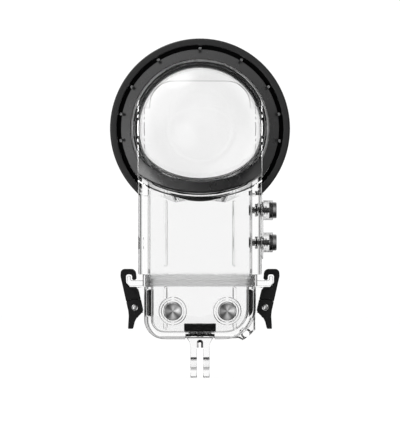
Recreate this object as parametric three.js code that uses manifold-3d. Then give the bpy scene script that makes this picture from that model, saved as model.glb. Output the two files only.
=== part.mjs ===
// Underwater housing for a two-lens action camera, in millimetres, +Z up.
// The front, with its two buttons, faces -Y. The origin is the bore centre of the two-prong foot.
// A clear upper shell carries two half domes on a round head. A clear base cup closes it from
// below against a gasket, and a draw latch on each side pulls the two together.
import * as THREE from 'three';
import { mergeVertices } from 'three/addons/utils/BufferGeometryUtils.js';
import Module from 'manifold-3d';

const wasm = await Module();
wasm.setup();

// Clearances and helpers of every cut
const gap = 0.3;
const overrun = 3;

// Heights of the whole
const baseRise = 11.5;
const baseHeight = 25;
const collarHeight = 5.7;
const boxHeight = 26.7;

// Head: web disc, domes and the stack of rings on it
const domeOverhang = 3.4;
const domeWall = 3.4;
const webThickness = 4;
const webInset = 1.3;
const webShoulderWidth = 7;
const webShoulderHeight = 12;
const sealThickness = 1.1;
const flangeThickness = 1.2;
const bezelThickness = 1.4;
const bezelWidth = 5;
const sillWidth = 7;
const flangeRoofWidth = 9.5;
const sealInset = 0.9;
const flangeInset = 0.6;
const ringSideGap = 0.5;
const ringWidth = 3.3;
const ringStepWidth = 1.5;
const ringHeight = 3.5;
const ringStepHeight = 1.1;
const tabLength = 1.1;
const tabWidth = 1.6;
const tabAngles = [0, 31.2, -31.2, 58.7, -58.7, 79.7, -79.7, 98.8, -98.8];

// Sloping roof of the upper shell
const roofFall = 42.6;
const roofDepth = 9.2;
const roofWall = 3.4;

// Upper shell
const boxWidth = 59.2;
const boxDepth = 43;
const boxCorner = 5;
const sideWall = 4.6;
const frontWall = 4.2;
const roomCorner = 3;
const collarInset = 1.7;
const railSpacing = 33.3;
const railWidth = 1.7;
const railProud = 0.8;
const railLift = 2.7;

// Passage for the camera through the head
const cameraSideGap = 0.75;
const cameraThickness = 17;
const cameraTopGap = 6.6;
const cameraCorner = 11;
const lensWidth = 28;
const lensInset = 0.4;

// Base cup
const baseInset = 2.9;
const baseCorner = 9.6;
const lugSideCorner = 15;
const baseWall = 3.2;
const neckHeight = 4;
const gasketHeight = 1.4;
const gasketWidth = 1.4;
const baseRibLength = 20.5;
const padThickness = 1.2;
const padHeight = 12.5;
const padLength = 16;
const padDrop = 1.5;

// Lanyard lug
const lanyardHole = 3.2;
const lanyardInset = 4.5;
const lanyardRise = 2.3;
const lanyardThickness = 5;
const lanyardMargin = 3.4;

// Two-prong foot
const prongThickness = 3.1;
const prongSpacing = 6.1;
const prongRadius = 7.5;
const prongBore = 5.2;
const footWidth = 13.5;
const footThickness = 5;
const footRecess = 1.4;
const slotDrop = 0.7;
const footGasket = 0.8;
const retainerOverlap = 0.9;
const retainerHeight = 3.6;
const retainerCorner = 0.6;
const screwSpacing = 7;
const screwRadius = 1.7;
const screwHeadRadius = 2.6;
const screwHeadHeight = 1.6;
const screwGrip = 1.6;
const dowelRadius = 1.05;
const dowelReach = 1;

// Push buttons
const sideButtonRises = { upper: 30.7, lower: 15.2 };
const sideCapRadius = 3.9;
const sideGuardRadius = 4.8;
const frontButtonSpacing = 26;
const frontButtonDrop = 11.4;
const frontCapRadius = 4.5;
const frontGuardRadius = 6.75;
const frontGuardWall = 1.5;
const guardHeight = 4.6;
const guardNotch = 1.3;
const bushLength = 5.5;
const bushWall = 1.1;
const bossThickness = 0.9;
const bossWidth = 13;
const bossMargin = 8;
const capHeight = 3.6;
const capCrown = 0.5;
const buttonTravel = 1.8;
const shaftRadius = 1.3;
const pocketRadius = 3.1;
const pocketDepth = 4.1;
const buttonSealHeight = 1.9;
const buttonSealWall = 1.2;
const tipRadius = 2.5;
const tipThickness = 1.2;
const springWire = 0.45;
const springRadius = 1.95;
const springCurls = 3;

// Latches: outlines lie in a plane of reach from the middle and height
const earThickness = 2.6;
const earReach = 7.1;
const earWidth = 12;
const lipThickness = 1.6;
const lipRise = 2.2;
const hookTip = 2;
const hookTipSideGap = 0.8;
const hookCrown = 2.3;
const hookHeadroom = 1;
const hookWallTop = 2.4;
const hookWallGap = 0.8;
const pivotStandoff = 4.65;
const pivotDrop = 10;
const pivotRadius = 1.2;
const linkDrop = 3.4;
const linkInset = 0.2;
const linkRadius = 0.8;
const hookEyeWall = 0.75;
const hookArmWidth = 2.3;
const earSideGap = 0.4;
const lugWidth = 5.2;
const lugWall = 1.2;
const leverCheekWidth = 4;
const leverCheekTop = 7;
const leverSweep = 3.8;
const leverTabEnd = 10.2;
const leverTabThickness = 2.1;
const wallPlugRadius = 2.7;
const wallPlugDepth = 1.7;
const wallPlugRise = 14.9;

// Levels and places worked out from the sizes
const rimLevel = baseRise + baseHeight;
const collarBottom = rimLevel + gap;
const collarTop = collarBottom + collarHeight;
const boxHalfWidth = boxWidth / 2;
const boxHalfDepth = boxDepth / 2;
const roomHalfWidth = boxHalfWidth - sideWall;
const roomHalfDepth = boxHalfDepth - frontWall;
const baseHalfWidth = boxHalfWidth - baseInset;
const baseHalfDepth = boxHalfDepth - baseInset;
const collarHalfWidth = boxHalfWidth - collarInset;
const webHalf = webThickness / 2;
const domeRadius = boxHalfWidth + domeOverhang;
const domeRoom = domeRadius - domeWall;
const ringStepInner = domeRadius + bezelWidth + ringSideGap;
const ringRimInner = ringStepInner + ringStepWidth;
const ringRadius = ringRimInner + ringWidth;
const headRise = collarTop + boxHeight + ringRadius;
const cameraRise = domeRoom - cameraTopGap;
const footDepth = prongRadius * 2;
const slotTop = baseRise - slotDrop;
const head = new THREE.Vector3(0, 0, headRise);

// Turns a closed geometry into a solid for joining and cutting.
function solidOf(geometry) {
  const bare = geometry.index ? geometry.toNonIndexed() : geometry.clone();
  bare.deleteAttribute('normal');
  bare.deleteAttribute('uv');
  const merged = mergeVertices(bare, 1e-5);
  const vertProperties = new Float32Array(merged.attributes.position.array);
  const triVerts = new Uint32Array(merged.index.array);
  return new wasm.Manifold(new wasm.Mesh({ numProp: 3, vertProperties, triVerts }));
}

// Turns a solid back into a geometry that a mesh can show.
function geometryOf(solid) {
  const mesh = solid.getMesh();
  const geometry = new THREE.BufferGeometry();
  geometry.setAttribute('position', new THREE.BufferAttribute(new Float32Array(mesh.vertProperties), 3));
  geometry.setIndex(new THREE.BufferAttribute(new Uint32Array(mesh.triVerts), 1));
  geometry.computeVertexNormals();
  return geometry;
}

function joined(...solids) {
  return solids.reduce((sum, solid) => sum.add(solid));
}

// Straight bodies: an outline pushed along one axis

function shapeOf(points) {
  return new THREE.Shape(points.map(([a, b]) => new THREE.Vector2(a, b)));
}

// Pushes an outline of x and z along y.
function alongY(shape, low, high, curveSegments = 6) {
  const depth = high - low;
  const geometry = new THREE.ExtrudeGeometry(shape, { depth, bevelEnabled: false, curveSegments });
  return solidOf(geometry.rotateX(Math.PI / 2).translate(0, high, 0));
}

// Pushes an outline of y and z along x.
function alongX(shape, low, high) {
  const geometry = new THREE.ExtrudeGeometry(shape, { depth: high - low, bevelEnabled: false });
  return solidOf(geometry.rotateX(Math.PI / 2).rotateZ(Math.PI / 2).translate(low, 0, 0));
}

// Pushes an outline of x and y along z.
function alongZ(shape, low, high, curveSegments = 4) {
  const depth = high - low;
  const geometry = new THREE.ExtrudeGeometry(shape, { depth, bevelEnabled: false, curveSegments });
  return solidOf(geometry.translate(0, 0, low));
}

function block(x, y, z) {
  const geometry = new THREE.BoxGeometry(x[1] - x[0], y[1] - y[0], z[1] - z[0]);
  return solidOf(geometry.translate((x[0] + x[1]) / 2, (y[0] + y[1]) / 2, (z[0] + z[1]) / 2));
}

// Rectangle with round corners, given by its half sizes.
function roundedShape(halfWidth, halfDepth, corner) {
  const r = Math.min(corner, halfWidth, halfDepth);
  const shape = new THREE.Shape();
  shape.absarc(halfWidth - r, halfDepth - r, r, 0, Math.PI / 2);
  shape.absarc(r - halfWidth, halfDepth - r, r, Math.PI / 2, Math.PI);
  shape.absarc(r - halfWidth, r - halfDepth, r, Math.PI, Math.PI * 1.5);
  shape.absarc(halfWidth - r, r - halfDepth, r, Math.PI * 1.5, Math.PI * 2);
  return shape;
}

// Round bodies

// Turns a profile of radius and distance about a line that starts at a point and runs outward.
function turned(profile, start, direction, segments = 16) {
  const points = profile.map(([r, d]) => new THREE.Vector2(r, d));
  const geometry = new THREE.LatheGeometry(points, segments);
  const turn = new THREE.Quaternion().setFromUnitVectors(new THREE.Vector3(0, 1, 0), direction);
  return solidOf(geometry.applyQuaternion(turn).translate(start.x, start.y, start.z));
}

function rod(radius, start, direction, low, high, segments = 16) {
  return turned([[0, low], [radius, low], [radius, high], [0, high]], start, direction, segments);
}

function ball(radius) {
  const geometry = new THREE.SphereGeometry(radius, 28, 14);
  return solidOf(geometry.translate(head.x, head.y, head.z));
}

const alongYAxis = new THREE.Vector3(0, 1, 0);
const outwardX = new THREE.Vector3(1, 0, 0);
const outwardY = new THREE.Vector3(0, -1, 0);
const upward = new THREE.Vector3(0, 0, 1);
const headSegments = 44;

// The plug in the wall opposite the side buttons
const plugOut = new THREE.Vector3(-1, 0, 0);
const plugFace = new THREE.Vector3(-boxHalfWidth, 0, collarTop + wallPlugRise);

function headDisc(radius, halfThickness) {
  return rod(radius, head, alongYAxis, -halfThickness, halfThickness, headSegments);
}

// The two roof planes, moved outward by a height, closed far below.
function roofWedge(height, halfWidth) {
  const fall = THREE.MathUtils.degToRad(roofFall);
  const reach = ringRadius;
  const peak = headRise + (height - roofDepth) / Math.cos(fall);
  const eaves = peak - reach * Math.tan(fall);
  const low = headRise - 2 * ringRadius;
  const outline = shapeOf([[0, peak], [-reach, eaves], [-reach, low], [reach, low], [reach, eaves]]);
  return alongX(outline, -halfWidth, halfWidth);
}

// Heights of the stack of rings over the web and the roof
const sealLow = gap;
const sealHigh = sealLow + sealThickness;
const flangeLow = sealHigh + gap;
const flangeHigh = flangeLow + flangeThickness;
const bezelLow = flangeHigh + gap;
const bezelHigh = bezelLow + bezelThickness;
const seatReach = domeRadius + flangeRoofWidth;

// One ring of the head's stack: flat round the web, folded down over the roof, or both.
function stackRing(low, high, inner, flatOuter, roofOuter) {
  const parts = [];
  if (flatOuter) parts.push(headDisc(flatOuter, webHalf + high));
  if (roofOuter) parts.push(roofWedge(high, boxHalfWidth).intersect(ball(roofOuter)));
  return joined(...parts).subtract(underStack(low)).subtract(ball(inner));
}

// Everything below a height of the stack, on the web and on the roof.
function underStack(height) {
  return joined(headDisc(ringRadius * 2, webHalf + height), roofWedge(height, boxHalfWidth + gap));
}

function frontHalf(solid) {
  const far = ringRadius * 2;
  return solid.intersect(block([-far, far], [-far, 0], [headRise - far, headRise + far]));
}

const flatFlangeOuter = domeRadius + bezelWidth - flangeInset;

function dome() {
  const shell = ball(domeRadius).subtract(ball(domeRoom)).subtract(underStack(flangeLow));
  const flange = stackRing(flangeLow, flangeHigh, domeRadius - domeWall / 2, flatFlangeOuter, seatReach);
  return frontHalf(joined(shell, flange, ...tabAngles.map(domeTab)));
}

// A small tab that keys the dome's flange to the outer ring.
function domeTab(angle) {
  const from = flatFlangeOuter - tabLength;
  const to = flatFlangeOuter + tabLength;
  const outline = shapeOf([
    [-tabWidth / 2, from],
    [tabWidth / 2, from],
    [tabWidth / 2, to],
    [-tabWidth / 2, to],
  ]);
  const high = webHalf + flangeHigh;
  const low = webHalf + flangeLow;
  const geometry = new THREE.ExtrudeGeometry(outline, { depth: high - low, bevelEnabled: false });
  geometry.rotateX(Math.PI / 2).translate(0, -low, 0);
  geometry.rotateY(THREE.MathUtils.degToRad(angle)).translate(head.x, head.y, head.z);
  return solidOf(geometry);
}

// The flat gasket under the dome's foot and flange.
function domeSeal() {
  const inner = domeRoom + sealInset;
  return frontHalf(stackRing(sealLow, sealHigh, inner, flatFlangeOuter, seatReach - gap));
}

// The round cover of the flange, open where the box stands.
function bezel() {
  const ring = stackRing(bezelLow, bezelHigh, domeRadius + gap, domeRadius + bezelWidth, 0);
  return frontHalf(ring.subtract(roofWedge(bezelHigh + gap, boxHalfWidth + gap)));
}

// The cover of the flange on the roof.
function sill() {
  return frontHalf(stackRing(bezelLow, bezelHigh, domeRadius + gap, 0, domeRadius + sillWidth));
}

// The black ring round the web: an inner step and a higher rim, open where the box stands.
function outerRing() {
  const low = webHalf + gap;
  const profile = [
    [ringStepInner, low],
    [ringRadius, low],
    [ringRadius, low + ringHeight - gap],
    [ringRadius - gap, low + ringHeight],
    [ringRimInner, low + ringHeight],
    [ringRimInner, low + ringStepHeight],
    [ringStepInner, low + ringStepHeight],
    [ringStepInner, low],
  ];
  const ring = turned(profile, head, outwardY, headSegments);
  const side = boxHalfWidth + gap;
  const far = ringRadius * 2;
  return ring.subtract(block([-side, side], [-far, far], [headRise - far, headRise]));
}

// Upper shell

function webPlate() {
  const disc = headDisc(ringRadius - webInset, webHalf);
  const inner = boxHalfWidth - overrun;
  const outer = boxHalfWidth + webShoulderWidth;
  const top = headRise - roofDepth - webShoulderHeight;
  const middle = top - webShoulderWidth;
  const low = middle - webShoulderWidth;
  const shoulder = side => alongY(
    shapeOf([
      [side * inner, top],
      [side * outer, top],
      [side * (boxHalfWidth + webShoulderWidth / 2), middle],
      [side * boxHalfWidth, low],
      [side * inner, low],
    ]),
    -webHalf,
    webHalf,
  );
  return joined(disc, shoulder(-1), shoulder(1));
}

function boxBody() {
  const top = headRise + ringRadius;
  const upper = alongZ(roundedShape(boxHalfWidth, boxHalfDepth, boxCorner), collarTop, top);
  const collar = alongZ(
    roundedShape(collarHalfWidth, boxHalfDepth - collarInset, boxCorner),
    collarBottom,
    collarTop + gap,
  );
  const seat = roofWedge(0, boxHalfWidth).intersect(ball(seatReach));
  return joined(upper.intersect(roofWedge(0, boxHalfWidth + overrun)), collar, seat);
}

// Two raised rails on a face, from just above the collar up under the head.
function boxRails() {
  const low = collarTop + railLift + railWidth / 2;
  const high = headRise - ringRadius;
  const rail = x => {
    const outline = new THREE.Shape();
    outline.absarc(x, low, railWidth / 2, Math.PI, Math.PI * 2);
    outline.lineTo(x + railWidth / 2, high);
    outline.lineTo(x - railWidth / 2, high);
    return alongY(outline, -boxHalfDepth - railProud, boxHalfDepth + railProud, 6);
  };
  return joined(rail(-railSpacing / 2), rail(railSpacing / 2));
}

function cameraRoom() {
  const low = collarBottom - overrun;
  const room = alongZ(roundedShape(roomHalfWidth, roomHalfDepth, roomCorner), low, headRise);
  return room.intersect(roofWedge(-roofWall, boxHalfWidth + overrun));
}

// The camera's own outline, cut through the web from front to back.
function cameraPassage() {
  const w = roomHalfWidth - cameraSideGap;
  const low = headRise - 2 * cameraRise;
  const top = headRise + cameraRise;
  const outline = new THREE.Shape();
  outline.moveTo(-w, low);
  outline.lineTo(w, low);
  outline.absarc(w - cameraCorner, top - cameraCorner, cameraCorner, 0, Math.PI / 2);
  outline.absarc(cameraCorner - w, top - cameraCorner, cameraCorner, Math.PI / 2, Math.PI);
  return alongY(outline, -cameraThickness / 2, cameraThickness / 2);
}

// The bulging lenses need a deeper, oval way up into the domes.
function lensPassage() {
  const outline = new THREE.Shape();
  outline.absellipse(0, 0, lensWidth / 2, roomHalfDepth - lensInset, 0, Math.PI * 2);
  return alongZ(outline, headRise - 2 * cameraRise, headRise, 16);
}

function domeSpace() {
  const slab = headDisc(ringRadius, webHalf);
  return ball(domeRoom).subtract(slab);
}

// Ears that the latch hooks catch: a floor with an upturned lip
function ear(side) {
  const inner = collarHalfWidth - overrun / 2;
  const outer = collarHalfWidth + earReach;
  const floor = collarBottom + earThickness;
  const top = floor + lipRise;
  const outline = shapeOf([
    [side * inner, collarBottom],
    [side * (outer - lipThickness / 2), collarBottom],
    [side * outer, collarBottom + lipThickness / 2],
    [side * outer, top - gap],
    [side * (outer - gap), top],
    [side * (outer - lipThickness + gap), top],
    [side * (outer - lipThickness), top - gap],
    [side * (outer - lipThickness), floor],
    [side * inner, floor],
  ]);
  return alongY(outline, -earWidth / 2, earWidth / 2);
}

// Buttons: every distance is measured outward from the floor of the guard cup
const buttonSeatLow = -pocketDepth;
const buttonSealTop = buttonSeatLow + gap + buttonSealHeight;
const springLow = buttonSealTop + gap;
const capLow = guardHeight + buttonTravel - capHeight;
const springHigh = capLow - gap;
const tipHigh = -bushLength - gap;

const buttons = [
  ...Object.entries(sideButtonRises).map(([level, rise]) => ({
    name: `side_button_${level}`,
    floor: new THREE.Vector3(boxHalfWidth + bossThickness, 0, collarTop + rise),
    out: outwardX,
    capRadius: sideCapRadius,
    guardOuter: sideGuardRadius,
    guardInner: sideCapRadius + gap,
  })),
  ...[-1, 1].map(side => ({
    name: `front_button_${side < 0 ? 'left' : 'right'}`,
    floor: new THREE.Vector3(side * frontButtonSpacing / 2, -baseHalfDepth, rimLevel - frontButtonDrop),
    out: outwardY,
    capRadius: frontCapRadius,
    guardOuter: frontGuardRadius,
    guardInner: frontGuardRadius - frontGuardWall,
  })),
];
const sideButtons = buttons.filter(button => button.out === outwardX);
const frontButtons = buttons.filter(button => button.out === outwardY);

function guardCup({ floor, out, guardInner, guardOuter }) {
  const rim = guardHeight - gap;
  const profile = [
    [guardInner, -gap],
    [guardOuter, -gap],
    [guardOuter, rim],
    [guardOuter - gap, guardHeight],
    [guardInner + gap, guardHeight],
    [guardInner, rim],
    [guardInner, -gap],
  ];
  return turned(profile, floor, out, 18);
}

function buttonBore({ floor, out }) {
  const pocket = rod(pocketRadius, floor, out, -pocketDepth, overrun);
  const bore = rod(shaftRadius + gap, floor, out, -bushLength - overrun, 0);
  return joined(pocket, bore);
}

// The thick boss on the side wall that carries both side buttons.
function sideBoss() {
  const rises = Object.values(sideButtonRises);
  const middle = collarTop + (Math.min(...rises) + Math.max(...rises)) / 2;
  const halfHeight = (Math.max(...rises) - Math.min(...rises)) / 2 + bossMargin;
  const outline = roundedShape(bossWidth / 2, halfHeight, bossWidth / 2);
  const geometry = new THREE.ExtrudeGeometry(outline, {
    depth: bossThickness + overrun,
    bevelEnabled: false,
    curveSegments: 8,
  });
  geometry.rotateX(Math.PI / 2).rotateZ(Math.PI / 2);
  return solidOf(geometry.translate(boxHalfWidth - overrun, 0, middle));
}

function mainShell() {
  const plug = rod(wallPlugRadius + gap, plugFace, plugOut, -wallPlugDepth, overrun);
  const inside = joined(cameraRoom(), cameraPassage(), lensPassage(), domeSpace(), collarRebate());
  const outside = joined(webPlate(), boxBody(), boxRails(), sideBoss(), ear(-1), ear(1));
  const cupped = joined(outside.subtract(inside), ...sideButtons.map(guardCup));
  return cupped.subtract(joined(...sideButtons.map(buttonBore), plug));
}

// The neck's plan, and the rings round it, grown by a width.
function neckPlan(grow) {
  return roundedShape(roomHalfWidth - gap + grow, roomHalfDepth - gap + grow, roomCorner + grow);
}

// Room for the base gasket in the collar's lower edge.
function collarRebate() {
  const wide = gasketWidth + 2 * gap;
  return alongZ(neckPlan(wide), collarBottom - overrun, collarBottom + gasketHeight + gap);
}

// Base cup

// Front view of the cup, with a wider corner beside the lanyard lug.
function cupOutline(inset, top) {
  const w = baseHalfWidth - inset;
  const low = baseRise + inset;
  const left = baseCorner - inset;
  const right = lugSideCorner - inset;
  const outline = new THREE.Shape();
  outline.moveTo(w, top);
  outline.lineTo(-w, top);
  outline.absarc(left - w, low + left, left, Math.PI, Math.PI * 1.5);
  outline.absarc(w - right, low + right, right, Math.PI * 1.5, Math.PI * 2);
  return outline;
}

function cupBody() {
  const depth = baseHalfDepth;
  const tall = alongY(cupOutline(0, rimLevel), -depth, depth);
  const plan = alongZ(roundedShape(baseHalfWidth, depth, boxCorner), baseRise - overrun, rimLevel + overrun);
  return tall.intersect(plan);
}

function cupRoom() {
  const depth = baseHalfDepth - baseWall;
  const tall = alongY(cupOutline(baseWall, rimLevel + neckHeight + overrun), -depth, depth);
  const plan = roundedShape(baseHalfWidth - baseWall, depth, roomCorner);
  return tall.intersect(alongZ(plan, baseRise - overrun, rimLevel + neckHeight + overrun));
}

// The neck that enters the upper shell.
function cupNeck() {
  return alongZ(neckPlan(0), rimLevel - overrun, rimLevel + neckHeight);
}

function baseRibs() {
  const rib = x => block(
    [x - railWidth / 2, x + railWidth / 2],
    [-baseHalfDepth - railProud, baseHalfDepth + railProud],
    [rimLevel - baseRibLength, rimLevel - gap],
  );
  return joined(rib(-railSpacing / 2), rib(railSpacing / 2));
}

function lanyardLug() {
  const x = baseHalfWidth - lanyardInset;
  const z = baseRise + lanyardRise;
  const half = lanyardThickness / 2;
  const inner = baseHalfWidth - lugSideCorner;
  const outline = shapeOf([
    [inner, baseRise],
    [x - lanyardMargin, baseRise],
    [x - lanyardMargin / 2, z - lanyardMargin],
    [baseHalfWidth, z + lanyardMargin / 2],
    [baseHalfWidth, baseRise + lugSideCorner],
    [baseHalfWidth - baseWall / 2, baseRise + lugSideCorner],
  ]);
  return alongY(outline, -half, half);
}

function lanyardBore() {
  const centre = new THREE.Vector3(baseHalfWidth - lanyardInset, 0, baseRise + lanyardRise);
  return rod(lanyardHole / 2, centre, alongYAxis, -baseHalfDepth, baseHalfDepth, 20);
}

// The latch pivot, seen in the plane of reach and height
const pivotReach = baseHalfWidth + pivotStandoff;
const pivotLevel = rimLevel - pivotDrop;

function latchLug(side) {
  const radius = pivotRadius + gap + lugWall;
  const wall = baseHalfWidth - baseWall / 2;
  const boss = rod(radius, new THREE.Vector3(side * pivotReach, 0, pivotLevel), alongYAxis,
    -lugWidth / 2, lugWidth / 2);
  const outline = shapeOf([
    [side * wall, rimLevel - gap],
    [side * (baseHalfWidth + pivotStandoff - pivotRadius), rimLevel - gap],
    [side * (pivotReach + radius * Math.SQRT1_2), pivotLevel + radius * Math.SQRT1_2],
    [side * pivotReach, pivotLevel - radius],
    [side * wall, pivotLevel - radius],
  ]);
  return joined(boss, alongY(outline, -lugWidth / 2, lugWidth / 2));
}

function pivotBore(side, radius) {
  const centre = new THREE.Vector3(side * pivotReach, 0, pivotLevel);
  return rod(radius, centre, alongYAxis, -boxHalfDepth, boxHalfDepth);
}

const footTop = baseRise + footRecess;
const floorTop = baseRise + baseWall;

function footPocket() {
  const halfWidth = footWidth / 2 + gap;
  const halfDepth = footDepth / 2 + gap;
  return block([-halfWidth, halfWidth], [-halfDepth, halfDepth],
    [baseRise - overrun, footTop + gap + footGasket + gap]);
}

function footHoles(extra) {
  const start = new THREE.Vector3(0, 0, floorTop);
  const low = -baseWall - overrun;
  const hole = (x, radius) => rod(radius + extra, start.clone().setX(x), upward, low, overrun, 16);
  return joined(
    hole(-screwSpacing / 2, screwRadius),
    hole(screwSpacing / 2, screwRadius),
    hole(0, dowelRadius),
  );
}

// The pads lie in shallow pockets of the side walls.
function sidePad(side, extra) {
  const wall = baseHalfWidth - baseWall;
  const low = rimLevel - padDrop - padHeight;
  const inner = side * (wall + (extra ? -overrun : 0));
  const outer = side * (wall + padThickness + extra);
  return block(
    [Math.min(inner, outer), Math.max(inner, outer)],
    [-padLength / 2 - extra, padLength / 2 + extra],
    [low - extra, low + padHeight + extra],
  );
}

function baseCup() {
  const bushes = frontButtons.map(({ floor, out }) =>
    rod(pocketRadius + bushWall, floor, out, -bushLength, -gap));
  const walls = joined(cupBody(), cupNeck(), baseRibs(), lanyardLug(), latchLug(-1), latchLug(1));
  const outside = joined(walls.subtract(cupRoom()), ...bushes, ...frontButtons.map(frontGuard));
  const cuts = joined(
    lanyardBore(),
    pivotBore(-1, pivotRadius + gap),
    pivotBore(1, pivotRadius + gap),
    footPocket(),
    footHoles(gap),
    sidePad(-1, gap),
    sidePad(1, gap),
    ...frontButtons.map(buttonBore),
  );
  return outside.subtract(cuts);
}

// The front guards have a notch at the top and the bottom of the rim.
function frontGuard(button) {
  const { floor, guardOuter } = button;
  const outer = floor.y - guardHeight;
  const notch = block(
    [floor.x - guardNotch / 2, floor.x + guardNotch / 2],
    [outer - overrun, outer + guardNotch],
    [floor.z - guardOuter - overrun, floor.z + guardOuter + overrun],
  );
  const bite = rod(frontCapRadius, floor, outwardY, 0, guardHeight + overrun);
  return guardCup(button).subtract(notch.subtract(bite));
}

function baseGasket() {
  const low = rimLevel + gap;
  const outer = alongZ(neckPlan(gap + gasketWidth), low, low + gasketHeight);
  return outer.subtract(alongZ(neckPlan(gap), rimLevel - overrun, rimLevel + overrun));
}

// Foot

function mountBracket() {
  const half = footDepth / 2;
  const plate = block([-footWidth / 2, footWidth / 2], [-half, half], [footTop - footThickness, footTop]);
  const flare = bracketFlare();
  const prongs = joined(...[-1, 1].map(prong));
  const solid = joined(plate.intersect(flareLimit()), flare, prongs);
  return solid.subtract(bracketHoles());
}

// Curved sides that draw the plate in to the width of the prongs.
function bracketOutline() {
  const wide = footWidth / 2;
  const narrow = (prongSpacing + prongThickness) / 2;
  const low = footTop - footThickness;
  const outline = new THREE.Shape();
  outline.moveTo(-wide, footTop);
  outline.lineTo(-wide, baseRise);
  outline.quadraticCurveTo(-narrow, baseRise - footRecess, -narrow, low);
  outline.lineTo(narrow, low);
  outline.quadraticCurveTo(narrow, baseRise - footRecess, wide, baseRise);
  outline.lineTo(wide, footTop);
  return outline;
}

function flareLimit() {
  return alongY(bracketOutline(), -footDepth, footDepth, 6);
}

function bracketFlare() {
  const narrow = (prongSpacing + prongThickness) / 2;
  const half = prongRadius;
  return block([-narrow, narrow], [-half, half], [slotTop - footThickness, footTop - gap])
    .subtract(block(
      [prongThickness / 2 - prongSpacing / 2, prongSpacing / 2 - prongThickness / 2],
      [-half - overrun, half + overrun],
      [-prongRadius, slotTop],
    ));
}

function prong(side) {
  const middle = side * prongSpacing / 2;
  const start = new THREE.Vector3(middle, 0, 0);
  const low = -prongThickness / 2;
  const high = prongThickness / 2;
  const disc = rod(prongRadius, start, outwardX, low, high, 24);
  const arm = block([middle + low, middle + high], [-prongRadius, prongRadius], [0, slotTop]);
  return joined(disc, arm).subtract(rod(prongBore / 2, start, outwardX, low - gap, high + gap));
}

function bracketHoles() {
  const start = new THREE.Vector3(0, 0, footTop);
  const hole = (x, radius, depth) =>
    rod(radius + gap, start.clone().setX(x), upward, -depth - gap, overrun, 16);
  return joined(
    hole(-screwSpacing / 2, screwRadius, screwGrip),
    hole(screwSpacing / 2, screwRadius, screwGrip),
    hole(0, dowelRadius, dowelReach),
  );
}

function footSeal() {
  const halfWidth = footWidth / 2;
  const halfDepth = footDepth / 2;
  const low = footTop + gap;
  return block([-halfWidth, halfWidth], [-halfDepth, halfDepth], [low, low + footGasket])
    .subtract(footHoles(gap));
}

const retainerLow = floorTop + gap;
const retainerTop = retainerLow + retainerHeight;

function mountRetainer() {
  const start = new THREE.Vector3(0, 0, retainerTop);
  const halfWidth = footWidth / 2 + retainerOverlap;
  const body = alongZ(roundedShape(halfWidth, footDepth / 2, retainerCorner), retainerLow, retainerTop);
  const below = -retainerHeight - overrun;
  const sunk = -screwHeadHeight - gap;
  const sink = x => rod(screwHeadRadius + gap, start.clone().setX(x), upward, sunk, overrun, 16);
  const shank = x => rod(screwRadius + gap, start.clone().setX(x), upward, below, 0, 16);
  const dowel = rod(dowelRadius + gap, start, upward, below, dowelReach + gap - retainerHeight, 16);
  return body.subtract(joined(
    sink(-screwSpacing / 2),
    sink(screwSpacing / 2),
    shank(-screwSpacing / 2),
    shank(screwSpacing / 2),
    dowel,
  ));
}

function bracketScrew(side) {
  const start = new THREE.Vector3(side * screwSpacing / 2, 0, retainerTop);
  const end = footTop - screwGrip - retainerTop;
  const socket = screwRadius / 2;
  return turned([
    [0, end],
    [screwRadius, end],
    [screwRadius, -screwHeadHeight],
    [screwHeadRadius, -screwHeadHeight],
    [screwHeadRadius, 0],
    [socket, 0],
    [socket, -socket],
    [0, -socket],
  ], start, upward, 16);
}

function bracketDowel() {
  const start = new THREE.Vector3(0, 0, footTop);
  return rod(dowelRadius, start, upward, -dowelReach, retainerLow - footTop + dowelReach, 16);
}

// Parts of a button

function buttonCap({ floor, out, capRadius }) {
  const top = capLow + capHeight;
  const dish = capCrown;
  return turned([
    [0, tipHigh - tipThickness / 2],
    [shaftRadius, tipHigh - tipThickness / 2],
    [shaftRadius, capLow],
    [capRadius, capLow],
    [capRadius, top - capCrown],
    [capRadius - capCrown, top],
    [0, top - dish],
  ], floor, out, 16);
}

function buttonTip({ floor, out }) {
  const bore = shaftRadius + gap;
  const low = tipHigh - tipThickness;
  return turned([
    [0, low],
    [tipRadius, low],
    [tipRadius, tipHigh],
    [bore, tipHigh],
    [bore, tipHigh - tipThickness / 2 - gap],
    [0, tipHigh - tipThickness / 2 - gap],
  ], floor, out, 12);
}

// A lip seal with two swellings against the shaft.
function buttonSeal({ floor, out }) {
  const inner = shaftRadius + gap;
  const outer = inner + buttonSealWall;
  const low = buttonSeatLow + gap;
  const waist = low + buttonSealHeight / 2;
  return turned([
    [inner, low],
    [outer, low],
    [outer, buttonSealTop],
    [inner, buttonSealTop],
    [inner + buttonSealWall / 4, waist],
    [inner, low],
  ], floor, out, 16);
}

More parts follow.
